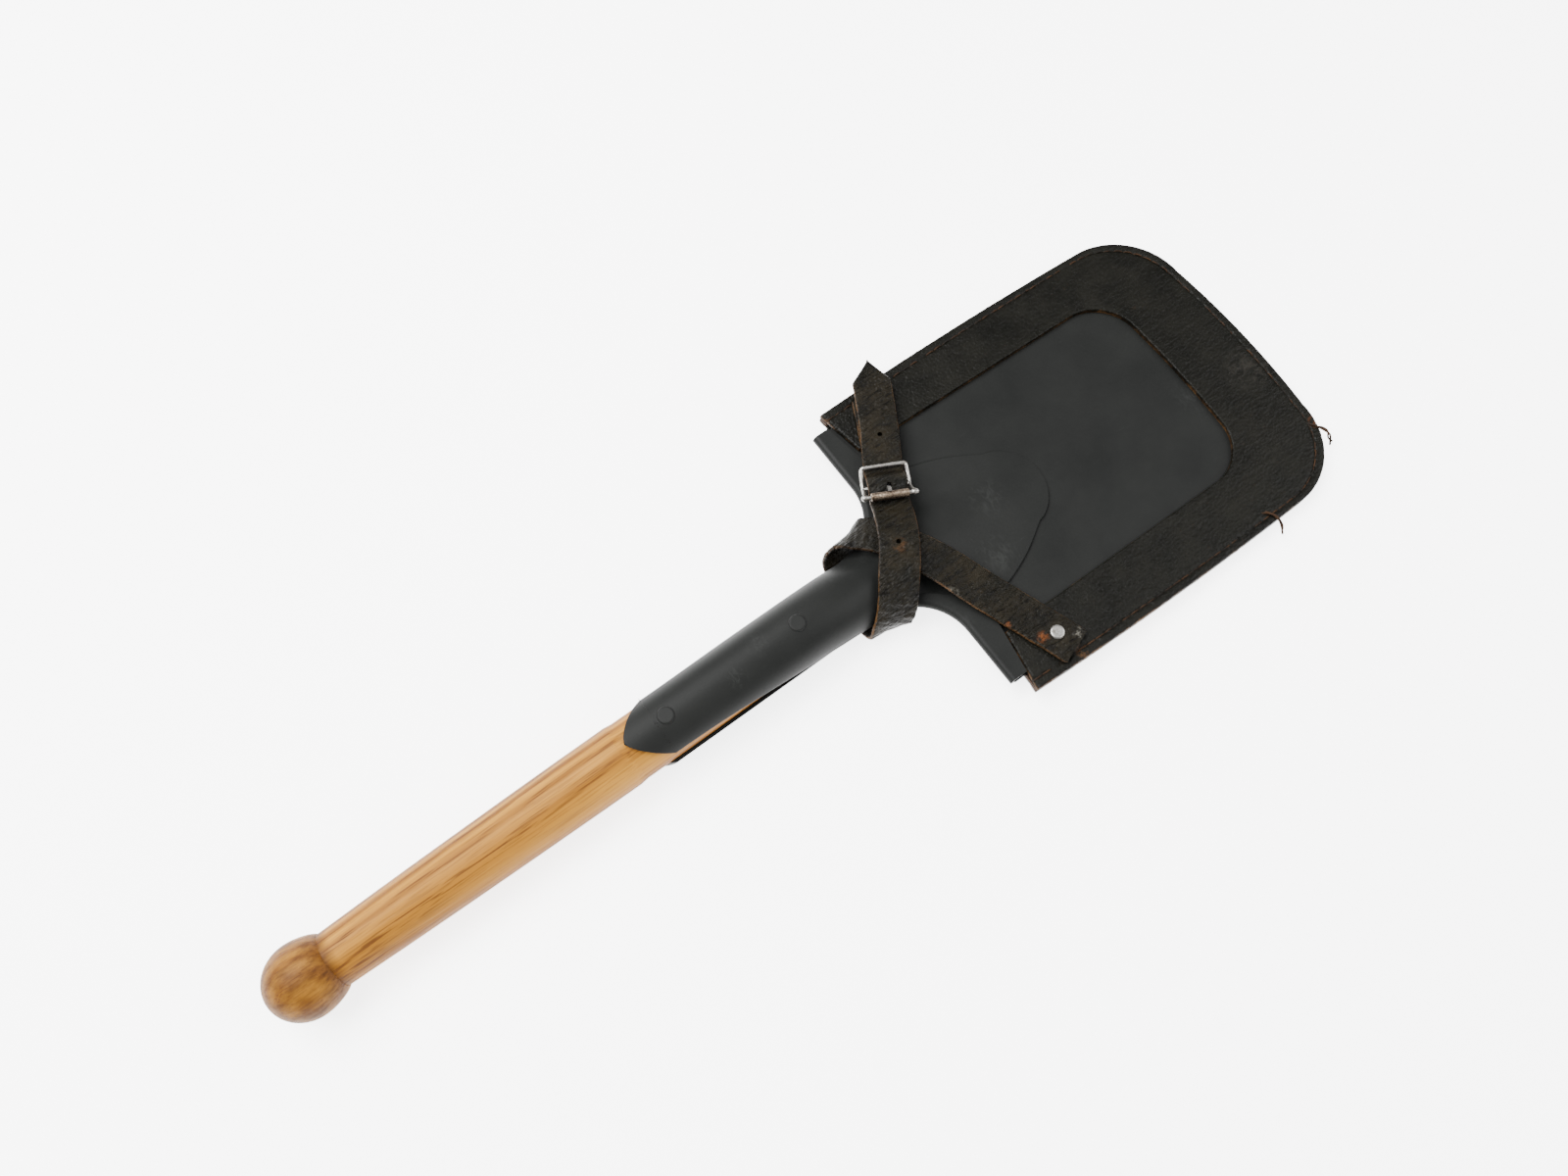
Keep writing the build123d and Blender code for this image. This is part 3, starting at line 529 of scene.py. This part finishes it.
def tube(path, radius, sides=12, closed=False, cap_round=True):
    """Round wire along a row of points, its ends domed."""
    count = len(path)
    tangents = []
    for i in range(count):
        if closed:
            tangents.append((path[(i + 1) % count] - path[i - 1]).normalized())
        else:
            tangents.append((path[min(i + 1, count - 1)] - path[max(i - 1, 0)]).normalized())
    normal = tangents[0].orthogonal().normalized()
    loops = []
    for i, (at, along) in enumerate(zip(path, tangents)):
        normal = (normal - along * normal.dot(along)).normalized()
        side = along.cross(normal)
        size = radius(i / (count - 1)) if callable(radius) else radius
        rings = [(at, size)]
        if cap_round and not closed and i in (0, count - 1):
            out = -1 if i == 0 else 1
            domes = [(at + along * out * size * k, size * math.sqrt(1 - k * k)) for k in DOME_STEPS]
            rings = domes[::-1] + rings if i == 0 else rings + domes
        for centre, r in rings:
            loops.append([centre + (normal * math.cos(a) + side * math.sin(a)) * r
                          for a in (2 * math.pi * k / sides for k in range(sides))])
    return loops_to_mesh(loops, [0.0] * (len(loops) * sides), closed)


def edge_drop(distance, radius=0.9):
    """How far a cut edge's rounding lies below the leather's face."""
    if distance >= radius:
        return 0.0
    inner = radius - max(distance, 0.0)
    return radius - math.sqrt(radius * radius - inner * inner)


STRIP_WEAR = 1.1  # width of the worn edge
STRIP_ACROSS = (-1, -0.985, -0.94, -0.86, -0.7, -0.5, -0.25, 0, 0.25, 0.5, 0.7, 0.86, 0.94, 0.985, 1)


def strip(stations, width, thickness, step, wrinkle=None, taper=None):
    """A leather strip along stations of (middle, direction across), its edges rounded."""
    middles = [Vector(at) for at, _ in stations]
    acrosses = [Vector(across).normalized() for _, across in stations]
    dense_m, dense_a = [], []
    last = len(stations) - 1
    for i in range(last):
        pm = [middles[min(max(i + k - 1, 0), last)] for k in range(4)]
        pa = [acrosses[min(max(i + k - 1, 0), last)] for k in range(4)]
        pieces = max(2, round((middles[i + 1] - middles[i]).length / step))
        for k in range(pieces + (1 if i == last - 1 else 0)):
            t = k / pieces
            dense_m.append(catmull_rom(pm, t))
            dense_a.append(catmull_rom(pa, t))
    count = len(dense_m)
    lengths = run_lengths(dense_m)
    total = lengths[-1]
    half_t = thickness / 2
    loops, wear = [], []
    for i in range(count):
        along = (dense_m[min(i + 1, count - 1)] - dense_m[max(i - 1, 0)]).normalized()
        across = (dense_a[i] - along * dense_a[i].dot(along)).normalized()
        normal = across.cross(along)
        half = width / 2 * (taper(lengths[i], total) if taper else 1.0)
        loop, worn = [], []
        for side in (1, -1):
            for f in STRIP_ACROSS[::-side]:
                d = half * (1 - abs(f))
                flat = half_t - edge_drop(d, half_t * 0.8) * 0.9
                lift = wrinkle(lengths[i], f, total) if wrinkle and side > 0 else 0.0
                sag = 0.10 * (1 - f * f) if side > 0 else 0.0
                ripple = 0.22 * noise.noise(Vector((lengths[i] * 0.16, f, 3.7)))
                sideways = across * (f * half + ripple * abs(f))
                loop.append(dense_m[i] + sideways + normal * (side * flat + lift + sag))
                worn.append(max(0.0, 1 - d / STRIP_WEAR))
        loops.append(loop)
        wear += worn
    return loops_to_mesh(loops, wear)


# ---- leather cover ---------------------------------------------------------------------------
class Outline:
    """One cut line of the cover: two sides, two round corners and a bowed end."""

    def __init__(self, halves, start, length, corner, bow, shift=0.0):
        self.halves = halves
        self.start, self.length, self.corner, self.bow, self.shift = start, length, corner, bow, shift

    def points(self, side_steps, corner_steps, end_steps):
        mouth_half, middle_half, end_half = self.halves
        corner_x = self.length - self.corner - self.bow
        flat = end_half - self.corner
        half_points = []
        for k in range(side_steps):
            t = k / side_steps
            bulge = mouth_half * (1 - t) + end_half * t
            bulge += (middle_half - (mouth_half + end_half) / 2) * 4 * t * (1 - t)
            half_points.append((self.start + (corner_x - self.start) * t, bulge))
        for k in range(corner_steps):
            a = math.pi / 2 * k / corner_steps
            half_points.append((corner_x + self.corner * math.sin(a), flat + self.corner * math.cos(a)))
        for k in range(end_steps + 1):
            y = flat * (1 - k / end_steps)
            half_points.append((self.length - self.bow * (y / flat) ** 2, y))
        right = [Vector((x, self.shift - y, 0)) for x, y in half_points]
        left = [Vector((x, self.shift + y, 0)) for x, y in half_points[-2::-1]]
        return right + left


OUTER = Outline((84.9, 86.6, 85.3), 9.3, 214.0, 38.0, 2.6, OUTLINE_SHIFT)
WINDOW = Outline((56.8, 56.4, 56.0), 14.1, 172.0, 24.0, 1.0)
POCKET = Outline((78.0, 78.0, 78.0), 9.9, 207.2, 27.0, 2.0)
STEPS = (170, 60, 46)


def cover_waves(x, y, seed):
    """Soft unevenness of the cover's leather, in millimetres."""
    broad = noise.noise(Vector((x * 0.016, y * 0.016, seed))) * 0.55
    return broad + noise.noise(Vector((x * 0.06, y * 0.06, seed + 9))) * 0.16


def seam_points(outer, inner, pitch):
    """Needle holes along the seam, a steady pitch apart."""
    line = [o + (i - o).normalized() * SEAM_INSET for o, i in zip(outer, inner)]
    return even_points(line, pitch)


NEAR_OUTER = (0.0, 0.12, 0.35, 0.7, 1.1, 2.0, 3.2, 3.9, 4.3, 4.6, 4.9, 5.3, 6.0, 7.4)
NEAR_INNER = (1.8, 1.1, 0.7, 0.35, 0.12, 0.0)
WIDE_RING = 14.0
RING_WEAR = 1.3  # width of the worn edge


def ring_spans(width, wide, whole):
    """Distances from the outer edge at which a layer gets its points."""
    far = NEAR_OUTER[-1]
    if whole:
        return [*NEAR_OUTER, *(far + (width - far) * k / 16 for k in range(1, 17))]
    if wide:
        between = width - far - NEAR_INNER[0]
        return [*NEAR_OUTER, *(far + between * k / 9 for k in range(1, 9)),
                *(width - d for d in NEAR_INNER)]
    return [*NEAR_INNER[:0:-1], width / 2, *(width - d for d in NEAR_INNER[1:])]


def ring(outer, inner, bottom, top, grooved, waves, seed, mouth_round=True, whole=False):
    """A leather layer between two cut lines, its seam drawn in by the thread.

    A whole layer closes onto its middle line and has no edge there.
    """
    needles = seam_points(outer, inner, STITCH_PITCH) if grooved else []
    loops, wear = [], []
    count = len(outer)
    run = run_lengths(outer)
    wide = (inner[0] - outer[0]).length > WIDE_RING
    needle = 0
    for i in range(count):
        o, n = outer[i], inner[i]
        width = (n - o).length
        direction = (n - o).normalized() if width else Vector((0, 1, 0))
        from_mouth = min(run[i], run[-1] - run[i])
        while needle + 1 < len(needles) and (
                (needles[needle + 1] - o).length < (needles[needle] - o).length):
            needle += 1
        spans = ring_spans(width, wide, whole)
        loop, worn = [], []
        for d in spans:
            at = o + direction * d
            shortest = d if whole else min(d, width - d)
            drop = edge_drop(shortest) + (edge_drop(from_mouth) if mouth_round else 0)
            dip = 0.0
            if grooved:
                dip = 0.34 * math.exp(-((d - SEAM_INSET) / 0.75) ** 2)
                reach = (needles[needle] - at).length
                dip += 0.55 * math.exp(-(reach / 0.7) ** 2)
            lift = cover_waves(at.x, at.y, seed) * waves * smooth_step(shortest, 0.0, 6.0)
            ragged = 0.16 * noise.noise(Vector((run[i] * 0.35, d > width / 2, seed)))
            at = at + direction * (ragged if shortest < 1.0 else 0.0)
            loop.append(Vector((at.x, at.y, top - drop - dip + lift)))
            rubbed = 1.0 if d < width / 2 or from_mouth < 3 else 0.62
            worn.append(max(0.0, 1 - min(shortest, from_mouth + 0.2) / RING_WEAR) * rubbed)
        for d in spans[::-1]:
            at = o + direction * d
            loop.append(Vector((at.x, at.y, bottom)))
            shortest = d if whole else min(d, width - d)
            worn.append(max(0.0, 1 - shortest / RING_WEAR))
        loops.append(loop)
        wear += worn
    points, faces, wear = loops_to_mesh(loops, wear)
    if whole:
        size = len(loops[0])
        wall = size // 2 - 1
        skin = (count - 1) * size
        faces = [face for k, face in enumerate(faces) if k >= skin or k % size != wall]
    return points, faces, wear


def in_cover(shape, flip=False):
    points, faces, wear = shape
    turned = [COVER @ Vector((p.x, p.y, -p.z if flip else p.z)) for p in points]
    return turned, faces, wear


def spine(outline_points, length):
    """Middle line that a whole panel closes onto, one point for each point of its outline."""
    return [Vector((min(p.x + 6.0, length - 86.0), OUTLINE_SHIFT, 0)) for p in outline_points]


STITCH_ARC = ((0.0, -0.55), (0.12, -0.18), (0.35, 0.12), (0.65, 0.12), (0.88, -0.18), (1.0, -0.55))
STITCH_R = 0.36
LOOSE_END_R = 0.46
# start of each loose thread end in the cover's plane, and its steps from there
LOOSE_ENDS = (
    ((155.5, -81.5, 4.4), (1.0, -2.4, 1.0), (1.4, -4.4, -1.0), (-0.6, -3.4, -1.4), (-1.6, -2.6, -0.6)),
    ((153.5, -81.0, 4.4), (1.5, -1.6, 1.4), (2.6, -3.6, -0.2), (0.6, -4.2, -1.8), (-1.2, -2.2, -0.6)),
    ((205.2, -58.0, 4.4), (2.0, -3.4, 0.9), (2.0, -4.0, -0.2), (1.4, -3.8, -1.0), (-2.6, -3.6, -1.6)),
    ((206.6, -62.0, 4.4), (2.6, -1.4, 0.6), (1.2, -3.4, 0.2), (-1.6, -3.0, -1.2), (1.0, -2.2, -1.0)),
)


def stitches(needles, top, seed, missing):
    """Threads from needle hole to needle hole, a few of them gone or loose."""
    draw = random.Random(seed)
    shapes = []
    for i, (a, b) in enumerate(zip(needles, needles[1:])):
        if draw.random() < missing:
            continue
        along = (b - a).normalized()
        side = Vector((-along.y, along.x, 0))
        slack = draw.uniform(-0.12, 0.12)
        start, end = a + along * 0.55, b - along * 0.55
        path = []
        for t, lift in STITCH_ARC:
            at = start.lerp(end, t) + side * slack * math.sin(math.pi * t)
            path.append(Vector((at.x, at.y, top - 0.12 + lift)))
        shapes.append(tube(path, STITCH_R, 7))
    return shapes


def loose_end(start, *steps):
    path = [Vector(start)]
    for step in steps:
        path.append(path[-1] + Vector(step))
    return tube(smooth_path(path, 0.8), LOOSE_END_R, 6)


def make_cover():
    outer = OUTER.points(*STEPS)
    window = WINDOW.points(*STEPS)
    pocket = POCKET.points(*STEPS)
    front = ring(outer, window, FRAME_BOTTOM, FRAME_TOP, True, 1.0, 2.0)
    piece("cover_front_leather", in_cover(front), "cover", "cover_leather", ["cover_front_frame"])
    inner_edge = [o + (p - o).normalized() * 0.25 for o, p in zip(outer, pocket)]
    welt = ring(inner_edge, pocket, PANEL_TOP, FRAME_BOTTOM, False, 0.0, 5.0, False)
    piece("cover_welt_strip", in_cover(welt), "cover", "raw_leather", ["cover_welt"])
    middle = spine(outer, OUTER.length)
    back = ring(outer, middle, -PANEL_TOP, -PANEL_BOTTOM, True, 0.7, 31.0, whole=True)
    piece("cover_back_leather", in_cover(back, True), "cover", "cover_leather",
          ["cover_back_panel"], clean=0.02)
    needles = seam_points(outer, window, STITCH_PITCH)
    front_threads = stitches(needles, FRAME_TOP, 4, 0.07)
    front_threads += [loose_end(*row) for row in LOOSE_ENDS]
    piece("stitches_front", in_cover(join(front_threads)), "cover", "thread", ["seam_front"])
    back_needles = seam_points(outer, middle, STITCH_PITCH)
    back_threads = stitches(back_needles, -PANEL_BOTTOM, 11, 0.03)
    piece("stitches_back", in_cover(join(back_threads), True), "cover", "thread", ["seam_back"])


# ---- closing strap ------------------------------------------------------------------------------
# middle of the strap and its direction across, from the rivet round the neck to the point
STRAP_STATIONS = (
    ((96.6, -80.6, 14.4), (0.92, 0.39, -0.03)),
    ((93.2, -71.0, 14.45), (0.92, 0.39, -0.03)),
    ((85.8, -52.0, 15.1), (0.92, 0.4, 0)),
    ((76.8, -31.0, 18.6), (0.92, 0.4, 0)),
    ((69.5, -13.5, 22.2), (0.92, 0.4, -0.1)),
    ((62.5, 0.0, 23.8), (0.91, 0.39, -0.15)),
    ((54.6, 13.6, 24.0), (0.9, 0.4, -0.18)),
    ((45.9, 22.6, 20.6), (0.94, 0.32, -0.15)),
    ((40.8, 24.0, 13.6), (0.99, 0.1, -0.15)),
    ((37.4, 21.4, 6.4), (1, 0.02, -0.05)),
    ((36.0, 14.5, 2.4), (1, 0, 0)),
    ((35.4, 6.0, 1.45), (1, 0, 0.01)),
    ((34.0, -6.0, 1.45), (1, 0, 0.01)),
    ((33.0, -14.0, 2.7), (0.99, -0.05, 0.1)),
    ((33.4, -20.3, 7.6), (0.94, -0.25, 0.2)),
    ((35.4, -21.6, 14.0), (0.93, -0.3, 0.15)),
    ((38.9, -19.4, 20.6), (0.93, -0.32, 0.05)),
    ((43.4, -14.2, 26.2), (0.92, -0.38, 0)),
    ((48.6, -7.6, 29.2), (0.86, -0.48, 0)),
    ((54.6, -0.2, 29.7), (0.82, -0.56, 0)),
    ((60.6, 8.4, 28.6), (0.84, -0.54, 0)),
    ((66.2, 18.4, 25.0), (0.88, -0.47, 0)),
    ((69.4, 25.3, 22.4), (0.89, -0.455, 0)),
    ((73.6, 33.4, 24.75), (0.89, -0.455, 0)),
    ((77.0, 40.0, 20.3), (0.89, -0.455, 0)),
    ((81.5, 47.2, 19.5), (0.91, -0.42, 0)),
    ((90.2, 60.2, 18.2), (0.93, -0.37, 0)),
    ((99.0, 76.0, 17.9), (0.96, -0.28, 0)),
    ((102.6, 82.6, 17.7), (0.97, -0.25, 0)),
    ((108.0, 93.0, 17.3), (0.97, -0.25, 0)),
)
STRAP_HOLES = ((57.6, 4.6, 29.0), (73.0, 31.0, 24.4), (87.8, 56.6, 18.6))
HOLE_R = 1.25
HOLE_DEPTH = 9.0
STRAP_POINT = 12.0  # length of the pointed end


def strap_taper(at, total):
    """Share of the strap's width: square cut start, pointed end."""
    start = min(1.0, 0.93 + at / 1.2 * 0.07)
    left = total - at
    if left > STRAP_POINT:
        return start
    return max(0.05, left / STRAP_POINT)


def strap_wrinkle(at, across, total):
    """Cross creases, deepest where the strap turns round the neck."""
    share = at / total
    bend = math.exp(-((share - 0.60) / 0.09) ** 2) + 0.7 * math.exp(-((share - 0.36) / 0.07) ** 2)
    crease = noise.noise(Vector((at * 0.62, across * 0.9, 1.3)))
    fine = noise.noise(Vector((at * 1.5, across * 2.2, 7.3)))
    return 0.75 * bend * crease + 0.13 * fine - 0.15 * bend


def settle(obj):
    """Replace an object's mesh by the result of its modifiers."""
    graph = bpy.context.evaluated_depsgraph_get()
    result = bpy.data.meshes.new_from_object(obj.evaluated_get(graph), depsgraph=graph)
    obj.modifiers.clear()
    obj.data = result


def cut_away(obj, tool):
    """Cut the shape in a bmesh out of an object, and free the bmesh."""
    mesh = bpy.data.meshes.new("tool")
    tool.to_mesh(mesh)
    tool.free()
    cutter = bpy.data.objects.new("tool", mesh)
    bpy.context.scene.collection.objects.link(cutter)
    cut = obj.modifiers.new("cut", "BOOLEAN")
    cut.operation = "DIFFERENCE"
    cut.solver = "EXACT"
    cut.object = cutter
    settle(obj)
    bpy.data.objects.remove(cutter)


def punch_holes(strap):
    """Punch the strap's round holes, square to it where they are."""
    tool = bmesh.new()
    middles = [Vector(at) for at, _ in STRAP_STATIONS]
    for hole in STRAP_HOLES:
        at = Vector(hole)
        i = min(range(len(middles)), key=lambda k: (middles[k] - at).length)
        along = (middles[min(i + 1, len(middles) - 1)] - middles[max(i - 1, 0)]).normalized()
        normal = Vector(STRAP_STATIONS[i][1]).cross(along).normalized()
        turn = normal.to_track_quat("Z", "Y").to_matrix().to_4x4()
        bmesh.ops.create_cone(
            tool, cap_ends=True, segments=20, radius1=HOLE_R * MM, radius2=HOLE_R * MM,
            depth=HOLE_DEPTH * MM, matrix=Matrix.Translation(at * MM) @ turn,
        )
    cut_away(strap, tool)


def make_strap():
    shape = strip(STRAP_STATIONS, STRAP_W, STRAP_T, 0.9, strap_wrinkle, strap_taper)
    strap = piece("closing_strap_leather", shape, "cover", "strap_leather", ["closing_strap"])
    punch_holes(strap)


# ---- chape and belt loops ------------------------------------------------------------------------
CHAPE_ALONG = Vector((0.455, 0.89, 0)).normalized()
CHAPE_T = 1.5
CHAPE_W = 15.0
CHAPE_R = 1.0 + 0.06 + CHAPE_T / 2  # middle of the fold round the bar
# distance from the bar and height of the lower thickness's underside
CHAPE_REST = ((49.0, 13.1), (40.0, 13.3), (26.0, 13.6), (18.0, 15.1), (5.0, 15.45))
CHAPE_FOLD = (-110, -150, 180, 140, 100, 60)  # degrees round the bar
CHAPE_SLOT = (9.0, 3.2, 12.0)
CHAPE_SLOT_AT = -0.6
LOOP_T = 1.8
LOOP_W = 32.0
# distance from the mouth and rise over the cover's back
LOOP_PROFILE = ((14.0, 0), (21.0, 0), (27.0, 0), (31.0, -0.9), (35.0, -1.9), (51.0, -1.95),
                (67.0, -1.9), (71.0, -0.9), (75.0, 0), (81.0, 0), (88.0, 0))
LOOP_ACROSS = 42.0


def make_chape():
    """Two thicknesses of leather folded round the buckle's bar and riveted to the cover."""
    bar = BUCKLE @ Vector((0, 0, -BAR_DROP))
    across = CHAPE_ALONG.cross(Vector((0, 0, 1)))
    path = [(run, height + CHAPE_T / 2 - bar.z) for run, height in CHAPE_REST]
    for degrees in CHAPE_FOLD:
        a = math.radians(degrees)
        path.append((CHAPE_R * math.cos(a), CHAPE_R * math.sin(a)))
    path += [(run, height + CHAPE_T * 1.5 + 0.02 - bar.z) for run, height in CHAPE_REST[::-1]]
    stations = [(bar + CHAPE_ALONG * run + Vector((0, 0, up)), across) for run, up in path]
    shape = strip(stations, CHAPE_W, CHAPE_T - 0.08, 0.8)
    chape = piece("buckle_chape_leather", shape, "cover", "strap_leather", ["buckle_chape"])
    tool = bmesh.new()
    bmesh.ops.create_cube(tool, size=1.0)
    slot_at = Matrix.Translation(bar + CHAPE_ALONG * CHAPE_SLOT_AT)
    turn = Matrix.Rotation(math.atan2(CHAPE_ALONG.y, CHAPE_ALONG.x), 4, "Z")
    size = Matrix.Diagonal((*CHAPE_SLOT, 1.0))
    bmesh.ops.transform(tool, matrix=Matrix.Scale(MM, 4) @ slot_at @ turn @ size, verts=tool.verts)
    cut_away(chape, tool)


def make_loops():
    """The two belt loops, raised from the cover's back between their rivets."""
    for side, name in ((1, "left"), (-1, "right")):
        stations = []
        for along, rise in LOOP_PROFILE:
            height = PANEL_BOTTOM - LOOP_T / 2 - 0.05 + rise
            middle = COVER @ Vector((along, side * LOOP_ACROSS, height))
            stations.append((middle, COVER.to_3x3() @ Vector((0, -1, 0))))
        shape = strip(stations, LOOP_W, LOOP_T - 0.1, 1.2)
        piece(f"belt_loop_{name}_leather", shape, "cover", "strap_leather", [f"belt_loop_{name}"])


# ---- buckle ------------------------------------------------------------------------------------
WIRE_R = 1.0
BAR_R = 0.98
BALL_R = 1.45
ROLLER_HALF = 9.25
ROLLER_R = 2.05
ROLLER_BORE = 1.07
ROLLER_SIDES = 28
ROLLER_STEPS = 60
# one side of the frame in the buckle's plane, from its front bar to the keeper
FRAME_SIDE = (
    (11.7, ROLLER_Y, 0), (11.5, -5.2, -2.3), (11.2, -1.6, -4.3), (11.2, 1.6, -4.3),
    (11.1, 5.2, -2.6), (10.9, 7.8, -0.8), (10.2, KEEPER_Y, -0.1), (8.6, KEEPER_Y, 0),
)


def make_buckle_wire():
    """Bent wire frame with its centre bar and balled front ends."""
    other_side = [(-x, y, z) for x, y, z in FRAME_SIDE[::-1]]
    corners = [*FRAME_SIDE, (0, KEEPER_Y, 0.1), *other_side, (0, ROLLER_Y, 0)]
    path = smooth_path([BUCKLE @ Vector(at) for at in corners], 0.6, True)[:-1]
    bar = [BUCKLE @ Vector((x, 0, -BAR_DROP)) for x in (-11.0, 0, 11.0)]
    shapes = [tube(path, WIRE_R, 14, True), tube(bar, BAR_R, 14)]
    for side in (1, -1):
        ball = [BUCKLE @ Vector((side * x, ROLLER_Y, 0)) for x in (11.2, 11.8, 12.4)]
        shapes.append(tube(ball, BALL_R, 14))
    piece("buckle_wire", join(shapes), "buckle", "nickel", ["buckle_frame"])


def roller_radius(t):
    """The worn roller's radius, its ends rounded."""
    end = min(t, 1 - t) * 2 * ROLLER_HALF
    broad = 0.10 * noise.noise(Vector((t * 21.0, 4.0, 0)))
    fine = 0.06 * noise.noise(Vector((t * 60.0, 1.0, 0)))
    return ROLLER_R - edge_drop(end, 0.7) + broad + fine


def make_roller():
    """The pitted roller, a tube open for the frame's front bar."""
    shares = [k / ROLLER_STEPS for k in range(ROLLER_STEPS + 1)]
    path = [BUCKLE @ Vector((ROLLER_HALF * (2 * t - 1), ROLLER_Y, 0)) for t in shares]
    points, faces, _ = tube(path, roller_radius, ROLLER_SIDES, cap_round=False)
    bore_points, bore_faces, _ = tube(path, ROLLER_BORE, ROLLER_SIDES, cap_round=False)
    start = len(points)
    last = start - ROLLER_SIDES
    faces = faces[:-2] + [tuple(start + i for i in face)[::-1] for face in bore_faces[:-2]]
    points = points + bore_points
    for j in range(ROLLER_SIDES):
        k = (j + 1) % ROLLER_SIDES
        faces.append((j, start + j, start + k, k))
        faces.append((last + j, last + k, start + last + k, start + last + j))
    shape = (points, faces, [0.0] * len(points))
    piece("buckle_roller_tube", shape, "roller", "worn_brass", ["buckle_roller"])


# ---- front socket: half tube that opens into a hood on the blade ---------------------------------
# along the frame's X: height of the crown, half width of the arch, height of its foot, half
# width of the tongue
HOOD_CROWN = curve_through(((-14.0, 33.6), (-2.0, 33.6), (14.0, 31.8), (28.0, 28.8), (42.0, 25.0),
                            (56.0, 21.3), (72.0, 17.6), (95.0, 13.9), (118.0, 11.45), (142.0, 9.9)))
HOOD_HALF = curve_through(((-14.0, 16.4), (-2.0, 16.4), (14.0, 16.8), (28.0, 17.0), (42.0, 16.9),
                           (56.0, 16.2), (72.0, 14.8), (95.0, 12.2), (118.0, 8.5), (142.0, 5.0)))
HOOD_FOOT = curve_through(((-14.0, 17.2), (-2.0, 17.2), (14.0, 15.0), (28.0, 13.3), (34.0, 12.95)))
HOOD_TONGUE = curve_through(((33.8, 17.2), (44.0, 18.8), (55.5, 23.6), (66.0, 31.6), (75.0, 37.6),
                             (84.0, 38.2), (94.5, 36.6), (110.0, 30.6), (125.4, 21.6)))
HOOD_END = 142.0
TONGUE_START = 33.8
TONGUE_ROUND = 125.4  # where the tongue's rounded end starts
TONGUE_ROUND_HALF = 21.6
PLATE_START = 34.0
FLANGE_RISE = 1.25
SHEET = 1.5
SECTION_POINTS = 72
PROFILE_STEPS = 96


def plate_top(x):
    """Top of the hood's flat flange on the blade."""
    return SHOULDER.z + BLADE_T + FLANGE_RISE - (x - SHOULDER.x) * math.tan(CANT)


def tongue_half(x):
    """Half width of the hood's sheet, with the tongue's rounded end."""
    if x <= TONGUE_START:
        return HOOD_HALF(x)
    if x <= TONGUE_ROUND:
        return HOOD_TONGUE(x)
    t = (x - TONGUE_ROUND) / (HOOD_END - TONGUE_ROUND)
    return TONGUE_ROUND_HALF * math.sqrt(max(0.0, 1 - t ** 1.6))


def socket_section(x):
    """Arc of the socket: pointed mouth, then edges that run down to the half circle."""
    opened = min(max((x - SOCKET_MOUTH) / (SOCKET_END - SOCKET_MOUTH), 0.0), 1.0)
    limit = math.acos((MOUTH_GAP * (1 - opened ** 2) + 0.04) / SOCKET_R)
    if x < SOCKET_MOUTH:
        limit *= ((x - SOCKET_TIP) / (SOCKET_MOUTH - SOCKET_TIP)) ** 0.75
    angles = [limit * (2 * k / (SECTION_POINTS - 1) - 1) for k in range(SECTION_POINTS)]
    return [Vector((x, SOCKET_R * math.sin(a), AXIS_Z + SOCKET_R * math.cos(a))) for a in angles]


def hood_section(x):
    """Arch that flattens from the round socket to a fading swell on the flat tongue."""
    foot = HOOD_FOOT(x) if x < PLATE_START else plate_top(x)
    fade = smooth_step(x, 16.0, 84.0)
    tongue = tongue_half(x)
    arch = min(HOOD_HALF(x) * (1 + 0.55 * fade), tongue)
    power = 0.5 + 1.55 * fade
    rise = max(HOOD_CROWN(x) - foot, 0.0)
    profile = []
    for k in range(PROFILE_STEPS + 1):
        q = math.sin(math.pi * (k / PROFILE_STEPS - 0.5))
        profile.append(Vector((x, q * arch, foot + rise * max(0.0, 1 - q * q) ** power)))
    if tongue > arch + 0.05:
        profile = [Vector((x, -tongue, foot))] + profile + [Vector((x, tongue, foot))]
    return spread_evenly(profile, SECTION_POINTS)


def easing(start, end, count):
    """Places from start towards end, closer together towards it."""
    return [start + (end - start) * math.sin(math.pi / 2 * k / count) for k in range(count)]


def make_hood():
    """Skin the sections from the socket's point to the tongue's end, one sheet thick."""
    mouth = [x + 0.05 for x in easing(SOCKET_TIP, SOCKET_MOUTH, 24)]
    straight = [SOCKET_MOUTH + 2.6 * k for k in range(30)]
    arch = [SOCKET_END + (TONGUE_ROUND - SOCKET_END) * k / 84 for k in range(84)]
    end = easing(TONGUE_ROUND, HOOD_END, 18)
    sections = [socket_section(x) for x in mouth + straight]
    sections += [hood_section(x) for x in arch + end]
    points = [at for section in sections for at in section]
    n = SECTION_POINTS
    faces = [(i * n + j, i * n + j + 1, (i + 1) * n + j + 1, (i + 1) * n + j)
             for i in range(len(sections) - 1) for j in range(n - 1)]
    hood = piece("front_socket_hood", (points, faces, [0.0] * len(points)), "shovel", "black_steel",
                 ["front_strap"])
    if hood.data.polygons[0].normal.z < 0:
        hood.data.flip_normals()
    shell = hood.modifiers.new("sheet", "SOLIDIFY")
    shell.thickness = SHEET * MM
    shell.offset = -1
    settle(hood)


make_camera()
make_stage()
replaced = {"cover_front_frame", "cover_welt", "cover_back_panel", "seam_front", "seam_back",
            "closing_strap", "buckle_chape", "belt_loop_left", "belt_loop_right", "front_strap",
            "buckle_frame", "buckle_roller"}
for row in frame["record"]["subparts"]:
    if row["node"] not in replaced:
        carried = nodes[row["node"]].data
        carried.materials.clear()
        carried.materials.append(FINISH[row["material_slot"]])
make_cover()
make_strap()
make_chape()
make_loops()
make_buckle_wire()
make_roller()
make_hood()
